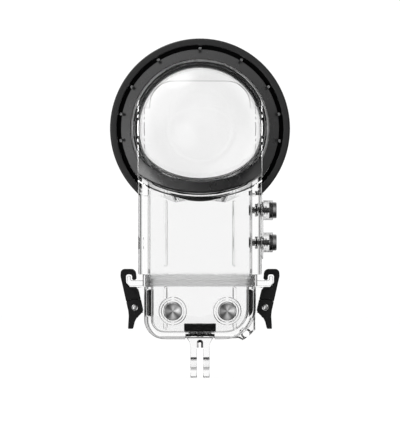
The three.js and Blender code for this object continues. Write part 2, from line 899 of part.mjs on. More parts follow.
// Wire round a middle line, closed by flat ends, as one unbroken tube.
function wireTube(path, radius, sides) {
  const positions = [];
  const indices = [];
  path.forEach((point, step) => {
    const before = path[Math.max(step - 1, 0)];
    const after = path[Math.min(step + 1, path.length - 1)];
    const ahead = after.clone().sub(before).normalize();
    if (step === 0 || step === path.length - 1) ahead.set(0, 0, 1);
    const radial = new THREE.Vector3(point.x, point.y, 0).normalize();
    const across = radial.clone().sub(ahead.clone().multiplyScalar(radial.dot(ahead))).normalize();
    const beside = ahead.clone().cross(across);
    for (let side = 0; side < sides; side += 1) {
      const angle = (side / sides) * Math.PI * 2;
      const rim = point.clone()
        .addScaledVector(across, Math.cos(angle) * radius)
        .addScaledVector(beside, Math.sin(angle) * radius);
      positions.push(rim.x, rim.y, rim.z);
    }
  });
  const ring = (step, side) => step * sides + (side % sides);
  for (let step = 0; step < path.length - 1; step += 1) {
    for (let side = 0; side < sides; side += 1) {
      indices.push(ring(step, side), ring(step, side + 1), ring(step + 1, side + 1));
      indices.push(ring(step, side), ring(step + 1, side + 1), ring(step + 1, side));
    }
  }
  const last = path.length - 1;
  for (let side = 1; side < sides - 1; side += 1) {
    indices.push(ring(0, 0), ring(0, side + 1), ring(0, side));
    indices.push(ring(last, 0), ring(last, side), ring(last, side + 1));
  }
  const geometry = new THREE.BufferGeometry();
  geometry.setAttribute('position', new THREE.Float32BufferAttribute(positions, 3));
  geometry.setIndex(indices);
  geometry.computeVertexNormals();
  return geometry;
}

const curlSteps = 8;
const wireSides = 5;

// The middle line of a spring: straight ends, one wire long, and a helix between them.
function springPath() {
  const low = springLow;
  const high = springHigh;
  const rise = high - low - 2 * springWire;
  const steps = springCurls * curlSteps;
  const path = [new THREE.Vector3(springRadius, 0, low)];
  for (let step = 0; step <= steps; step += 1) {
    const share = step / steps;
    const angle = share * springCurls * Math.PI * 2;
    path.push(new THREE.Vector3(
      springRadius * Math.cos(angle),
      springRadius * Math.sin(angle),
      low + springWire + share * rise,
    ));
  }
  path.push(new THREE.Vector3(springRadius, 0, high));
  return path;
}

// The least clear distance between curls, measured on the middle line.
function springGap() {
  const path = springPath();
  let least = Infinity;
  path.forEach((one, i) => path.forEach((other, j) => {
    if (j - i >= curlSteps / 2) least = Math.min(least, one.distanceTo(other));
  }));
  return least - springWire;
}

function springGeometry({ floor, out }) {
  const geometry = wireTube(springPath(), springWire / 2, wireSides);
  const turn = new THREE.Quaternion().setFromUnitVectors(new THREE.Vector3(0, 0, 1), out);
  return geometry.applyQuaternion(turn).translate(floor.x, floor.y, floor.z);
}

console.log('least gap of a spring to itself, mm', springGap().toFixed(3));

// Latches

const earFloor = collarBottom + earThickness;
const lipOuter = collarHalfWidth + earReach;
const lipTop = earFloor + lipRise;
const linkReach = pivotReach - linkInset;
const linkLevel = pivotLevel - linkDrop;
const hookTipOuter = lipOuter - lipThickness - hookTipSideGap;
const hookTipInner = hookTipOuter - hookTip;
const hookCavityTop = lipTop + hookHeadroom;
const hookTop = hookCavityTop + hookCrown;
const hookInnerWall = lipOuter + hookWallGap;
const hookOuterWall = hookInnerWall + hookWallTop;
const hookSplit = leverCheekTop + 2 * gap;
const hookArmInner = lugWidth / 2 + gap;
const hookArmOuter = hookArmInner + hookArmWidth;
const leverCheekInner = hookArmOuter + gap;
const latchHalfWidth = leverCheekInner + leverCheekWidth;
const hookEye = linkRadius + gap + hookEyeWall;

// The outer edge slants in from the hook's head to the lever's waist.
function outerEdge(level) {
  const topLevel = lipTop;
  const share = (topLevel - level) / (topLevel - pivotLevel);
  return hookOuterWall - share * (hookOuterWall - pivotReach - pivotStandoff + pivotRadius);
}

function mirrored(side, points) {
  return shapeOf(points.map(([reach, level]) => [side * reach, level]));
}

// Outline of the whole hook: a crown over the ear's lip, with its tip, and the body below.
function hookOutline(side) {
  const under = collarBottom - 2 * gap;
  return mirrored(side, [
    [hookTipInner + hookTip / 4, earFloor + gap],
    [hookTipOuter - hookTip / 4, earFloor + gap],
    [hookTipOuter, earFloor + gap + hookTip / 4],
    [hookTipOuter, hookCavityTop],
    [hookInnerWall, hookCavityTop],
    [hookInnerWall, collarBottom + lipThickness / 2],
    [hookInnerWall - lipThickness, under],
    [hookTipInner, under],
    [baseHalfWidth + baseInset, under - lipThickness],
    [baseHalfWidth + hookTip, linkLevel + hookSplit / 2],
    [linkReach, linkLevel + hookSplit / 2],
    [outerEdge(linkLevel + hookSplit / 2), linkLevel + hookSplit / 2],
    [outerEdge(collarBottom), collarBottom],
    [hookOuterWall, lipTop],
    [hookOuterWall - hookTip / 4, hookTop - hookTip / 2],
    [hookOuterWall - hookTip, hookTop],
    [hookTipInner + hookTip / 2, hookTop],
    [hookTipInner, hookTop - hookTip / 2],
    [hookTipInner, earFloor + gap + hookTip / 4],
  ]);
}

function aboutY(reach, level, side, radius, halfWidth, segments = 16) {
  const centre = new THREE.Vector3(side * reach, 0, level);
  return rod(radius, centre, alongYAxis, -halfWidth, halfWidth, segments);
}

function band(solid, inner, outer) {
  const far = ringRadius * 2;
  const strip = side => block(
    [-far, far],
    side > 0 ? [inner, outer] : [-outer, -inner],
    [-far, headRise + far],
  );
  return solid.intersect(joined(strip(-1), strip(1)));
}

function hook(side) {
  const half = latchHalfWidth;
  const whole = alongY(hookOutline(side), -half, half);
  const round = aboutY(linkReach, linkLevel, side, hookSplit, half + overrun, 24);
  const plates = whole.subtract(round);
  const rise = linkDrop + 2 * gap;
  const inner = earWidth / 2 + earSideGap;
  const earRoom = alongY(mirrored(side, [
    [baseHalfWidth, earFloor + gap / 2],
    [lipOuter + earSideGap, earFloor + gap / 2],
    [lipOuter + earSideGap, collarBottom - rise],
    [lipOuter - lipThickness / 2, linkLevel + hookSplit - overrun],
    [baseHalfWidth, linkLevel + hookSplit - overrun],
  ]), -inner, inner);
  const tipSlot = alongY(mirrored(side, [
    [baseHalfWidth, earFloor + gap / 2],
    [baseHalfWidth, hookCavityTop],
    [hookTipInner - gap, hookCavityTop],
    [hookTipInner - gap, earFloor + gap / 2],
  ]), -inner, inner);
  const arms = band(hookArm(side), hookArmInner, hookArmOuter);
  const eye = aboutY(linkReach, linkLevel, side, linkRadius + gap, half);
  return joined(plates.subtract(earRoom).subtract(tipSlot), arms).subtract(eye);
}

// The arms pass outboard of the pivot pin down to the link.
function hookArm(side) {
  const clear = pivotReach + pivotRadius + 2 * gap;
  const join = linkLevel + hookSplit + gap;
  const outline = mirrored(side, [
    [linkReach + hookEye / 2, linkLevel + hookEye / 2],
    [linkReach + hookEye - gap / 2, linkLevel + hookEye / 2],
    [outerEdge(pivotLevel) - gap, pivotLevel],
    [outerEdge(join) - gap, join],
    [outerEdge(join) - gap, join + overrun],
    [lipOuter + earSideGap, join + overrun],
    [clear + gap, join],
    [clear, pivotLevel],
  ]);
  const half = latchHalfWidth;
  const eye = aboutY(linkReach, linkLevel, side, hookEye, half);
  return joined(alongY(outline, -half, half), eye);
}

// Outline of the lever: round cheeks above, a waist cut for a finger and a flat tab below.
function leverOutline(side) {
  const tabLow = pivotLevel - leverTabEnd;
  const wall = baseHalfWidth + 2 * gap;
  const tabOuter = outerEdge(pivotLevel - linkDrop);
  const tabInner = tabOuter - leverTabThickness;
  const waist = pivotLevel - 2 * linkDrop;
  return mirrored(side, [
    [wall + pivotRadius * 2, pivotLevel + leverCheekTop],
    [wall + pivotRadius, pivotLevel + pivotRadius],
    [wall, pivotLevel - pivotRadius],
    [wall + gap, pivotLevel - linkDrop + pivotRadius],
    [wall + pivotRadius, pivotLevel - linkDrop],
    [tabInner - pivotRadius, waist + pivotRadius],
    [tabInner - gap, waist - pivotRadius],
    [tabInner, tabLow],
    [tabOuter, tabLow],
    [tabOuter, waist],
    [outerEdge(linkLevel), linkLevel],
    [outerEdge(pivotLevel), pivotLevel],
    [outerEdge(pivotLevel), pivotLevel + leverCheekTop],
  ]);
}

function lever(side) {
  const half = latchHalfWidth;
  const whole = alongY(leverOutline(side), -half, half);
  const crown = aboutY(linkReach, linkLevel, side, leverCheekTop, half + overrun, 24);
  const cheekInner = leverCheekInner;
  const lowerBox = block([-ringRadius, ringRadius], [-half, half], [0, linkLevel]);
  const cheeks = band(whole.intersect(joined(crown, lowerBox)), cheekInner, half);
  const sweep = aboutY(linkReach, linkLevel, side, leverSweep, half);
  const below = block([-ringRadius, ringRadius], [-cheekInner - gap, cheekInner + gap],
    [0, linkLevel - hookEye]);
  const bridge = whole.intersect(below).subtract(sweep);
  const stubs = band(aboutY(linkReach, linkLevel, side, linkRadius, half, 16), lugWidth / 2 + 2 * gap,
    cheekInner + gap);
  return joined(cheeks, bridge, stubs).subtract(pivotBore(side, pivotRadius + gap));
}

function pivotPin(side) {
  const half = latchHalfWidth;
  const centre = new THREE.Vector3(side * pivotReach, 0, pivotLevel);
  const edge = gap / 2;
  return turned([
    [0, -half - edge],
    [pivotRadius - edge, -half - edge],
    [pivotRadius, -half],
    [pivotRadius, half],
    [pivotRadius - edge, half + edge],
    [0, half + edge],
  ], centre, alongYAxis, 14);
}

function wallPlug() {
  return rod(wallPlugRadius, plugFace, plugOut, gap - wallPlugDepth, 0, 20);
}

// Materials

const finish = (color, roughness, metalness, opacity = 1) => new THREE.MeshStandardMaterial({
  color,
  roughness,
  metalness,
  opacity,
  transparent: opacity < 1,
});
const clearPlastic = () => finish(0xf2f5f6, 0.06, 0, 0.35);
const blackGloss = () => finish(0x16171a, 0.25, 0);
const blackMatte = () => finish(0x1b1b1d, 0.55, 0);
const rubber = () => finish(0x141414, 0.85, 0);
const steel = () => finish(0xc9ccd0, 0.25, 1);

// The tree of named parts

const housing = new THREE.Group();
housing.name = 'camera_housing';

function place(name, geometry, material) {
  const mesh = new THREE.Mesh(geometry, material);
  mesh.name = name;
  housing.add(mesh);
  return mesh;
}

function placeSolid(name, solid, material) {
  return place(name, geometryOf(solid), material);
}

// Mirrors a piece of the front to the rear of the head.
function placeBoth(name, solid, material) {
  placeSolid(`front_${name}`, solid, material());
  const rear = placeSolid(`rear_${name}`, solid, material());
  rear.rotation.z = Math.PI;
}

placeSolid('main_shell', mainShell(), clearPlastic());
placeBoth('dome', dome(), clearPlastic);
placeBoth('dome_seal', domeSeal(), rubber);
placeBoth('bezel', bezel(), blackGloss);
placeBoth('sill', sill(), blackGloss);
placeBoth('outer_ring', outerRing(), blackGloss);
placeSolid('wall_plug', wallPlug(), rubber());
placeSolid('base_cup', baseCup(), clearPlastic());
placeSolid('base_gasket', baseGasket(), rubber());
placeSolid('side_pad_left', sidePad(-1, 0), rubber());
placeSolid('side_pad_right', sidePad(1, 0), rubber());
placeSolid('mount_bracket', mountBracket(), clearPlastic());
placeSolid('mount_gasket', footSeal(), rubber());
placeSolid('mount_retainer', mountRetainer(), blackMatte());
placeSolid('bracket_screw_left', bracketScrew(-1), steel());
placeSolid('bracket_screw_right', bracketScrew(1), steel());
placeSolid('bracket_dowel', bracketDowel(), steel());

for (const button of buttons) {
  placeSolid(`${button.name}_cap`, buttonCap(button), steel());
  place(`${button.name}_spring`, springGeometry(button), steel());
  placeSolid(`${button.name}_seal`, buttonSeal(button), rubber());
  placeSolid(`${button.name}_tip`, buttonTip(button), blackMatte());
}

for (const side of [-1, 1]) {
  const sideName = side < 0 ? 'left' : 'right';
  placeSolid(`latch_lever_${sideName}`, lever(side), blackMatte());
  placeSolid(`latch_hook_${sideName}`, hook(side), blackMatte());
  placeSolid(`latch_pin_${sideName}`, pivotPin(side), steel());
}

export default housing;
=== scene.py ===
from math import cos, pi, radians, sin, tan

import bmesh
import bpy
import numpy as np
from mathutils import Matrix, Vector


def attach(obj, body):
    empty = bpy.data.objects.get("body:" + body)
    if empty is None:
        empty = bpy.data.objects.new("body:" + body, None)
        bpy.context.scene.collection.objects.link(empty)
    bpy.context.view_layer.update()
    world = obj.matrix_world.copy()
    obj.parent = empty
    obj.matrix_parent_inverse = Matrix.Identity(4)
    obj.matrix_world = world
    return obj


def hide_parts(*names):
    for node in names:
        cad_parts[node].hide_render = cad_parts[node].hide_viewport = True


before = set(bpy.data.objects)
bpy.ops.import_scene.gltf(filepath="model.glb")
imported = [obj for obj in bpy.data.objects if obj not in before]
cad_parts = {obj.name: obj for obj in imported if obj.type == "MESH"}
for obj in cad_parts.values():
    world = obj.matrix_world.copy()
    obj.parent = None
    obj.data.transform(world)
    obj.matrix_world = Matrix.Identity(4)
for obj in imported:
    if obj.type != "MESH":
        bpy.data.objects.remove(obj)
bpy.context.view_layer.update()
print("frame loaded with", len(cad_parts), "parts")

# Shapes from numbers

millimetre = 0.001


# Puts points and faces into a mesh, closes its seams and poles and turns its faces outward.
def closedPiece(name, points, faces):
    mesh = bpy.data.meshes.new(name)
    mesh.from_pydata((np.asarray(points) * millimetre).tolist(), [], faces)
    raw = bmesh.new()
    raw.from_mesh(mesh)
    bmesh.ops.remove_doubles(raw, verts=raw.verts, dist=1e-7)
    bmesh.ops.recalc_face_normals(raw, faces=raw.faces)
    raw.to_mesh(mesh)
    raw.free()
    piece = bpy.data.objects.new(name, mesh)
    bpy.context.scene.collection.objects.link(piece)
    return piece


# Quads between neighbouring rows of a grid whose columns run round.
def gridFaces(rows, columns):
    row, column = np.meshgrid(np.arange(rows - 1), np.arange(columns), indexing="ij")
    after = (column + 1) % columns
    corners = (row * columns + column, row * columns + after)
    corners += ((row + 1) * columns + after, (row + 1) * columns + column)
    return np.stack(corners, axis=-1).reshape(-1, 4).tolist()


# A profile of radius and distance turned about a line: point = start + distance * aim
# + radius * (cosine of the turn * side + sine of the turn * other side).
def turned(name, profile, start, aim, steps=96):
    profile, aim = np.asarray(profile, float), np.asarray(aim, float)
    side = np.cross(aim, (aim[2], aim[0], aim[1]))
    side = side / np.linalg.norm(side)
    other = np.cross(aim, side)
    turn = np.linspace(0, 2 * pi, steps, endpoint=False)
    ring = np.outer(np.cos(turn), side) + np.outer(np.sin(turn), other)
    points = np.asarray(start) + profile[:, 0, None, None] * ring + profile[:, 1, None, None] * aim
    return closedPiece(name, points.reshape(-1, 3), gridFaces(len(profile), steps))


# An outline drawn in: each corner moves by the distance along the line that halves its angle.
def inward(outline, distance):
    after = np.roll(outline, -1, axis=0)
    along = after - outline
    along /= np.linalg.norm(along, axis=1, keepdims=True)
    turning = np.sign(np.sum(outline[:, 0] * after[:, 1] - outline[:, 1] * after[:, 0]))
    outward = np.stack([along[:, 1], -along[:, 0]], axis=1) * turning
    before = np.roll(outward, 1, axis=0)
    return outline - distance * (before + outward) / (1 + (before * outward).sum(axis=1, keepdims=True))


# Outlines of one length laid at rising levels along an axis and joined, with both ends closed.
def layered(name, outlines, levels, axis):
    place = "xyz".index(axis)
    rows = [np.insert(outline, place, level, axis=1) for outline, level in zip(outlines, levels)]
    count = len(rows[0])
    last = (len(rows) - 1) * count
    caps = [list(range(count)), list(range(last, last + count))]
    return closedPiece(name, np.concatenate(rows), gridFaces(len(rows), count) + caps)


# How far in and how deep the points of a quarter circle lie, from the end face to the side.
def quarter(edge, steps):
    turn = np.linspace(0, pi / 2, steps if edge else 1)
    return edge * (1 - np.sin(turn)), edge * (1 - np.cos(turn))


# An outline pushed along an axis: its two numbers fill the other two axes in their order. Its
# ends are rounded by a quarter circle, which draws the outline in as it goes.
def pushed(name, outline, low, high, axis, edge=0.0):
    outline = np.asarray(outline, float)
    inset, depth = quarter(edge, 5)
    insets = np.concatenate([inset, inset[::-1]])
    levels = np.concatenate([low + depth, (high - depth)[::-1]])
    return layered(name, [inward(outline, by) for by in insets], levels, axis)


# A cutter that leaves the rims of its hole rounded by a quarter circle.
def flared(name, outline, low, high, axis, edge):
    grow, depth = quarter(edge, 6)
    growth = np.concatenate([[edge], grow, grow[::-1], [edge]])
    levels = np.concatenate([[low - 1], low + depth, (high - depth)[::-1], [high + 1]])
    return layered(name, [inward(outline, -by) for by in growth], levels, axis)


# A span on one side of the middle and the same span on the other.
def spans(inner, outer):
    return (inner, outer), (-outer, -inner)


def twoSided(make, name, outline, inner, outer, axis, edge=0.0):
    return [make(name, outline, low, high, axis, edge) for low, high in spans(inner, outer)]


# Corners of an outline rounded by arcs: each arc runs between the two points that lie one
# tangent length from the corner, and its middle lies on the corner's bisector.
def rounded(outline, radius, steps=8):
    corner = np.asarray(outline, float)
    radius = np.broadcast_to(np.asarray(radius, float), len(corner))
    before, after = np.roll(corner, 1, axis=0) - corner, np.roll(corner, -1, axis=0) - corner
    room = np.minimum(np.linalg.norm(before, axis=1), np.linalg.norm(after, axis=1)) * 0.49
    before /= np.linalg.norm(before, axis=1, keepdims=True)
    after /= np.linalg.norm(after, axis=1, keepdims=True)
    half = np.arccos(np.clip((before * after).sum(axis=1), -1, 1)) / 2
    reach = np.minimum(radius / np.tan(half), room)
    radius = reach * np.tan(half)
    middle = before + after
    middle /= np.maximum(np.linalg.norm(middle, axis=1, keepdims=True), 1e-9)
    centre = corner + middle * (radius / np.sin(half))[:, None]
    first = corner + before * reach[:, None] - centre
    last = corner + after * reach[:, None] - centre
    sweep = np.maximum(pi - 2 * half, 1e-6)[:, None]
    share = np.linspace(0, 1, steps + 1)[None, :]
    one = np.sin((1 - share) * sweep) / np.sin(sweep)
    two = np.sin(share * sweep) / np.sin(sweep)
    arcs = centre[:, None] + one[:, :, None] * first[:, None] + two[:, :, None] * last[:, None]
    points = arcs.reshape(-1, 2)
    apart = np.linalg.norm(points - np.roll(points, 1, axis=0), axis=1)
    return points[apart > 1e-4]


# A closed profile with rounded corners, turned about a line into a ring.
def turnedRing(name, corners, radii, arcSteps, start, aim, steps):
    loop = rounded(corners, radii, arcSteps)
    return turned(name, np.vstack([loop, loop[:1]]), start, aim, steps)


# A circle, or an ellipse if the radius is a pair.
def circle(radius, middle=(0, 0), steps=48):
    turn = np.linspace(0, 2 * pi, steps, endpoint=False)
    return np.stack([np.cos(turn), np.sin(turn)], axis=1) * radius + middle


# The points of an arc from one angle to another.
def arc(radius, start, end, steps):
    turn = np.linspace(start, end, steps)
    return np.stack([radius * np.cos(turn), radius * np.sin(turn)], axis=1)


def rectangle(halfWide, halfDeep, corner=0.0, steps=10):
    corners = [(halfWide, halfDeep), (-halfWide, halfDeep), (-halfWide, -halfDeep), (halfWide, -halfDeep)]
    return rounded(corners, corner, steps) if corner else np.array(corners)


def fourCorners(left, right, low, high):
    return [(left, low), (right, low), (right, high), (left, high)]


def box(name, x, y, z):
    return pushed(name, fourCorners(*x, *y), *z, "z")


def rod(name, radius, start, aim, low, high, steps=64):
    return turned(name, [(0, low), (radius, low), (radius, high), (0, high)], start, aim, steps)


# Joins tools to a piece, cuts them from it or keeps what they share, and removes them.
def work(piece, how, *tools):
    for tool in tools:
        step = piece.modifiers.new(how, "BOOLEAN")
        step.operation, step.solver, step.object = how, "MANIFOLD", tool
    seen = piece.evaluated_get(bpy.context.evaluated_depsgraph_get())
    mesh = bpy.data.meshes.new_from_object(seen)
    piece.modifiers.clear()
    piece.data = mesh
    for tool in tools:
        bpy.data.objects.remove(tool)
    return piece


def join(piece, *tools):
    return work(piece, "UNION", *tools)


def cut(piece, *tools):
    return work(piece, "DIFFERENCE", *tools)


def keep(piece, *tools):
    return work(piece, "INTERSECT", *tools)


# Takes out slivers that stand alone and closes what they leave open.
def mend(mesh):
    stray = [face for face in mesh.faces if all(len(edge.link_faces) != 2 for edge in face.edges)]
    bmesh.ops.delete(mesh, geom=stray, context="FACES")
    bmesh.ops.delete(mesh, geom=[edge for edge in mesh.edges if not edge.link_faces], context="EDGES")
    bmesh.ops.delete(mesh, geom=[point for point in mesh.verts if not point.link_edges], context="VERTS")
    bmesh.ops.holes_fill(mesh, edges=[edge for edge in mesh.edges if len(edge.link_faces) == 1])


# Mends what the booleans leave, and shades smoothly all but the edges over an angle in degrees.
def soften(piece, sharp=38):
    mesh = bmesh.new()
    mesh.from_mesh(piece.data)
    bmesh.ops.remove_doubles(mesh, verts=mesh.verts, dist=1e-6)
    mend(mesh)
    mesh.to_mesh(piece.data)
    mesh.free()
    piece.data.shade_smooth()
    piece.data.set_sharp_from_angle(angle=radians(sharp))
    return piece


# Gives a finished piece its name, body and material and hides the nodes that it stands for.
def dress(piece, name, body, slot, material, *nodes):
    piece.name = piece.data.name = name
    piece.data.materials.clear()
    piece.data.materials.append(material)
    flats = piece.modifiers.new("flats", "WEIGHTED_NORMAL")
    flats.keep_sharp = True
    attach(piece, body)
    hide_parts(*nodes)


# The same piece on the other side: turned half round about the upright line, or mirrored in x.
def twin(piece, how):
    other = bpy.data.objects.new(piece.name + "-twin", piece.data.copy())
    bpy.context.scene.collection.objects.link(other)
    points = np.empty(len(other.data.vertices) * 3, np.float32)
    other.data.vertices.foreach_get("co", points)
    points = points.reshape(-1, 3) * ((-1, -1, 1) if how == "turned" else (-1, 1, 1))
    other.data.vertices.foreach_set("co", points.astype(np.float32).ravel())
    if how == "mirrored":
        other.data.flip_normals()
    other.data.update()
    return other


# Surfaces


# Gives a node's inputs values or the outputs of other nodes.
def fill(tree, node, inputs):
    for name, value in inputs.items():
        if isinstance(value, bpy.types.NodeSocket):
            tree.links.new(value, node.inputs[name])
        else:
            node.inputs[name].default_value = value
    return node


def added(tree, kind, inputs, **settings):
    node = tree.nodes.new("ShaderNode" + kind)
    for name, value in settings.items():
        setattr(node, name, value)
    return fill(tree, node, inputs)


# One step of arithmetic with values or the outputs of other nodes.
def reckon(tree, operation, *values):
    return added(tree, "Math", dict(enumerate(values)), operation=operation).outputs[0]


# Starts a material and gives it with its node tree, its shader and the place on the object.
def surface(name):
    made = bpy.data.materials.new(name)
    made.use_nodes = True
    tree = made.node_tree
    return made, tree, tree.nodes["Principled BSDF"], added(tree, "TexCoord", {}).outputs["Object"]


def grey(value, other=1.0):
    return (value, value, value * other, 1)


# Noise whose grains have a size in millimetres.
def noise(tree, place, size, detail=4):
    inputs = {"Scale": 1 / (size * millimetre), "Detail": detail, "Vector": place}
    return added(tree, "TexNoise", inputs).outputs["Fac"]


# A value read through a ramp between two tones.
def ramp(tree, value, low, high, edges=(0.35, 0.65)):
    made = added(tree, "ValToRGB", {"Fac": value})
    for element, position, tone in zip(made.color_ramp.elements, edges, (low, high)):
        element.position = position
        element.color = tone
    return made.outputs["Color"]


# Relief with its depth in millimetres, over another relief if there is one.
def bump(tree, height, strength, depth, under=None):
    inputs = {"Strength": strength, "Distance": depth * millimetre, "Height": height}
    if under:
        inputs["Normal"] = under
    return added(tree, "Bump", inputs).outputs["Normal"]


# A grained surface. Fine and wide each give a grain's size and its two tones: the fine grain
# shows in colour and relief, the wide one in roughness. A crown shades a flat face as one that is
# round from side to side: height = - distance from the middle squared / (2 * radius).
def grained(name, fine, wide, relief, inputs, crown=0):
    made, tree, shader, place = surface(name)
    grain, rough = noise(tree, place, fine[0]), noise(tree, place, wide[0])
    under = None
    if crown:
        x = added(tree, "SeparateXYZ", {"Vector": place}).outputs["X"]
        curve = {"Height": reckon(tree, "MULTIPLY", x, x), "Distance": 1 / (2 * crown * millimetre)}
        under = added(tree, "Bump", curve, invert=True).outputs["Normal"]
    inputs = {**inputs, "Base Color": ramp(tree, grain, *fine[1:]), "Roughness": ramp(tree, rough, *wide[1:])}
    fill(tree, shader, {**inputs, "Normal": bump(tree, grain, *relief, under)})
    return made


# Moulded black plastic with a fine grain.
def blackPlastic(name, colour, roughness, size, relief, gloss=0.5, crown=0):
    fine = (size, grey(colour * 0.85), grey(colour * 1.15, 1.04))
    wide = (14, grey(roughness * 0.9), grey(roughness * 1.1))
    return grained(name, fine, wide, (relief, 0.05), {"Specular IOR Level": gloss}, crown)


# Plain bright steel wire and screws, faintly drawn.
def brightSteel(name, light=0.78, rough=0.3):
    fine, wide = (0.6, grey(light * 0.8), grey(light, 1.01)), (2.5, grey(rough * 0.55), grey(rough))
    return grained(name, fine, wide, (0.15, 0.02), {"Metallic": 1})


# Silicone rubber with a dusty bloom: black, or pale and let through by some of the light.
def rubber(name, dark, light, through=0.0):
    inputs = {"Transmission Weight": through, "IOR": 1.2 if through else 1.45}
    return grained(name, (0.35, grey(dark), grey(light)), (4, grey(0.6), grey(0.85)), (0.3, 0.03), inputs)


# Painted shade in the outer side walls, only at glancing angles: dark noisy streaks that stand in for
# dark surroundings seen bent through the thick walls. The share of the darker shade = noise * step of
# the distance from the middle * how far the face turns away.
def paintedSideShade(tree, place, facing, tint, look):
    x = added(tree, "SeparateXYZ", {"Vector": place}).outputs["X"]
    start, end = look["sideFrom"] * millimetre, (look["sideFrom"] + look["sideFade"]) * millimetre
    inputs = {"Value": reckon(tree, "ABSOLUTE", x), "From Min": start, "From Max": end}
    side = added(tree, "MapRange", inputs).outputs["Result"]
    marks = ramp(tree, noise(tree, place, look["sideSize"], 2), grey(0), grey(1), look["sideEdges"])
    share = reckon(tree, "MULTIPLY", reckon(tree, "MULTIPLY", marks, side), facing)
    return added(tree, "Mix", {0: share, 6: tint, 7: grey(look["sideShade"])}, data_type="RGBA").outputs[2]


# face and rim are the tints head-on and at glancing angles; the rim tint is painted shade for dark edges.
clearLook = {"ior": 1.49, "roughness": 0.012, "gloss": 0.25, "face": 0.995, "rim": 0.3, "rimStart": 0.6}
clearLook.update({"blend": 0.5, "flowSize": 9, "flow": (0.05, 0.3)})
domeLook = {**clearLook, "face": 0.97, "rim": 0.75, "rimStart": 0.93, "gloss": 0.1}
# The side settings place the painted shade in the shell's outer side walls.
shellLook = {**clearLook, "sideFrom": 27.1, "sideFade": 0.2, "sideSize": 1.1}
shellLook.update({"sideShade": 0.15, "sideEdges": (0.42, 0.58)})


# Clear polycarbonate: it bends light, carries faint moulding flow marks and has painted shade that greys its
# rims.
def clearPlastic(name, look):
    made, tree, shader, place = surface(name)
    # Painted shade: the tint goes grey where the face turns away, standing in for dark surroundings at the
    # edges.
    facing = added(tree, "LayerWeight", {"Blend": look["blend"]}).outputs["Facing"]
    tint = ramp(tree, facing, grey(look["face"]), grey(look["rim"], 1.02), (look["rimStart"], 1))
    # Painted shade in the shell's outer side walls.
    if "sideShade" in look:
        tint = paintedSideShade(tree, place, facing, tint, look)
    inputs = {"Transmission Weight": 1, "IOR": look["ior"], "Specular IOR Level": look["gloss"]}
    inputs["Normal"] = bump(tree, noise(tree, place, look["flowSize"], 1), *look["flow"])
    fill(tree, shader, {**inputs, "Roughness": look["roughness"], "Base Color": tint})
    return made


# middle, the sector swing and the top light set the painted reflection and painted light in the caps' colour.
steelLook = {"ringSize": 0.12, "middle": 0.56, "paintedSectorSwing": 0.28, "upward": 0.14, "worn": 1.5}


# Steel turned on a lathe: fine rings about the piece's own line in its relief, and a painted
# reflection in its colour: the bright and dark sectors that such a face reflects, tone = middle +
# sector swing * cosine of four times the angle, with painted light a little lighter toward the top.
def turnedSteel(name, centre, aim):
    made, tree, shader, place = surface(name)
    turn = {"x": (0, pi / 2, 0), "y": (pi / 2, 0, 0)}[aim]
    inputs = {"Vector": place, "Location": np.asarray(centre) * millimetre, "Rotation": turn}
    moved = added(tree, "Mapping", inputs, vector_type="TEXTURE").outputs["Vector"]
    size = 1 / (steelLook["ringSize"] * millimetre) / 20
    inputs = {"Vector": moved, "Scale": size, "Distortion": 0.6, "Detail Scale": 8}
    rings = added(tree, "TexWave", inputs, wave_type="RINGS", rings_direction="Z").outputs["Fac"]
    split = added(tree, "SeparateXYZ", {"Vector": moved}).outputs
    angle = reckon(tree, "ARCTAN2", split["Y"], split["X"])
    # Painted reflection and painted light: the sectors and the lighter top go into the base colour.
    tone = steelLook["middle"]
    for times, operation, share in ((4, "COSINE", steelLook["paintedSectorSwing"]), (1, "SINE", steelLook["upward"])):
        wave = reckon(tree, operation, reckon(tree, "MULTIPLY", angle, times))
        tone = reckon(tree, "MULTIPLY_ADD", wave, share, tone)
    rough = ramp(tree, noise(tree, place, steelLook["worn"]), grey(0.3), grey(0.42))
    inputs = {"Metallic": 1, "Anisotropic": 0.6, "Base Color": tone, "Roughness": rough}
    fill(tree, shader, {**inputs, "Normal": bump(tree, rings, 0.25, 0.02)})
    return made


shellClear = clearPlastic("clear-shell", shellLook)
domeClear = clearPlastic("clear-dome", domeLook)
baseClear = clearPlastic("clear-base", clearLook)
footClear = clearPlastic("clear-foot", clearLook)
glossBlack = blackPlastic("black-gloss", 0.01, 0.28, 0.5, 0.03, 1.0)
sillBlack = blackPlastic("black-sill", 0.01, 0.28, 0.5, 0.03, 1.0, 110)
ringBlack = blackPlastic("black-ring", 0.007, 0.34, 0.4, 0.08, 0.5)
# Nearly black and dull: painted shade for the ring's step faces down in the groove.
grooveShadeBlack = blackPlastic("black-groove-shade", 0.002, 0.6, 0.3, 0.2, 0.03)
matteBlack = blackPlastic("black-matte", 0.006, 0.5, 0.25, 0.25, 0.14)
sealRubber = rubber("black-rubber", 0.004, 0.012)
paleRubber = rubber("pale-rubber", 0.92, 0.98, 0.88)
# Near white and barely clear, made with the rubber surface: a painted highlight for the dome's key ends and
# ribs.
glintWhite = rubber("painted-glint", 0.92, 0.98, 0.05)
padRubber = rubber("pad-rubber", 0.012, 0.03)
wireSteel = brightSteel("wire-steel")
satinSteel = brightSteel("satin-steel", 0.95, 0.4)
print("surfaces made")

# The head: its domes and the rings on them

head = {
    "rise": 112.5,
    "domeRadius": 33.0,
    "domeWall": 2.7,
    "webHalf": 2.0,
    "roofFall": 42.6,
    "roofDepth": 9.2,
    "boxHalfWidth": 29.6,
    "ringRadius": 43.3,
    "room": 0.3,
    "steps": 176,
}
centre = np.array([0, 0, head["rise"]])
far = head["ringRadius"] * 2
# How high above the web or the roof each layer begins and ends.
stack = {"sealLow": 0.3, "sealHigh": 1.4, "flangeLow": 1.7, "flangeHigh": 2.9}
stack.update({"bezelLow": 3.2, "bezelHigh": 4.6})


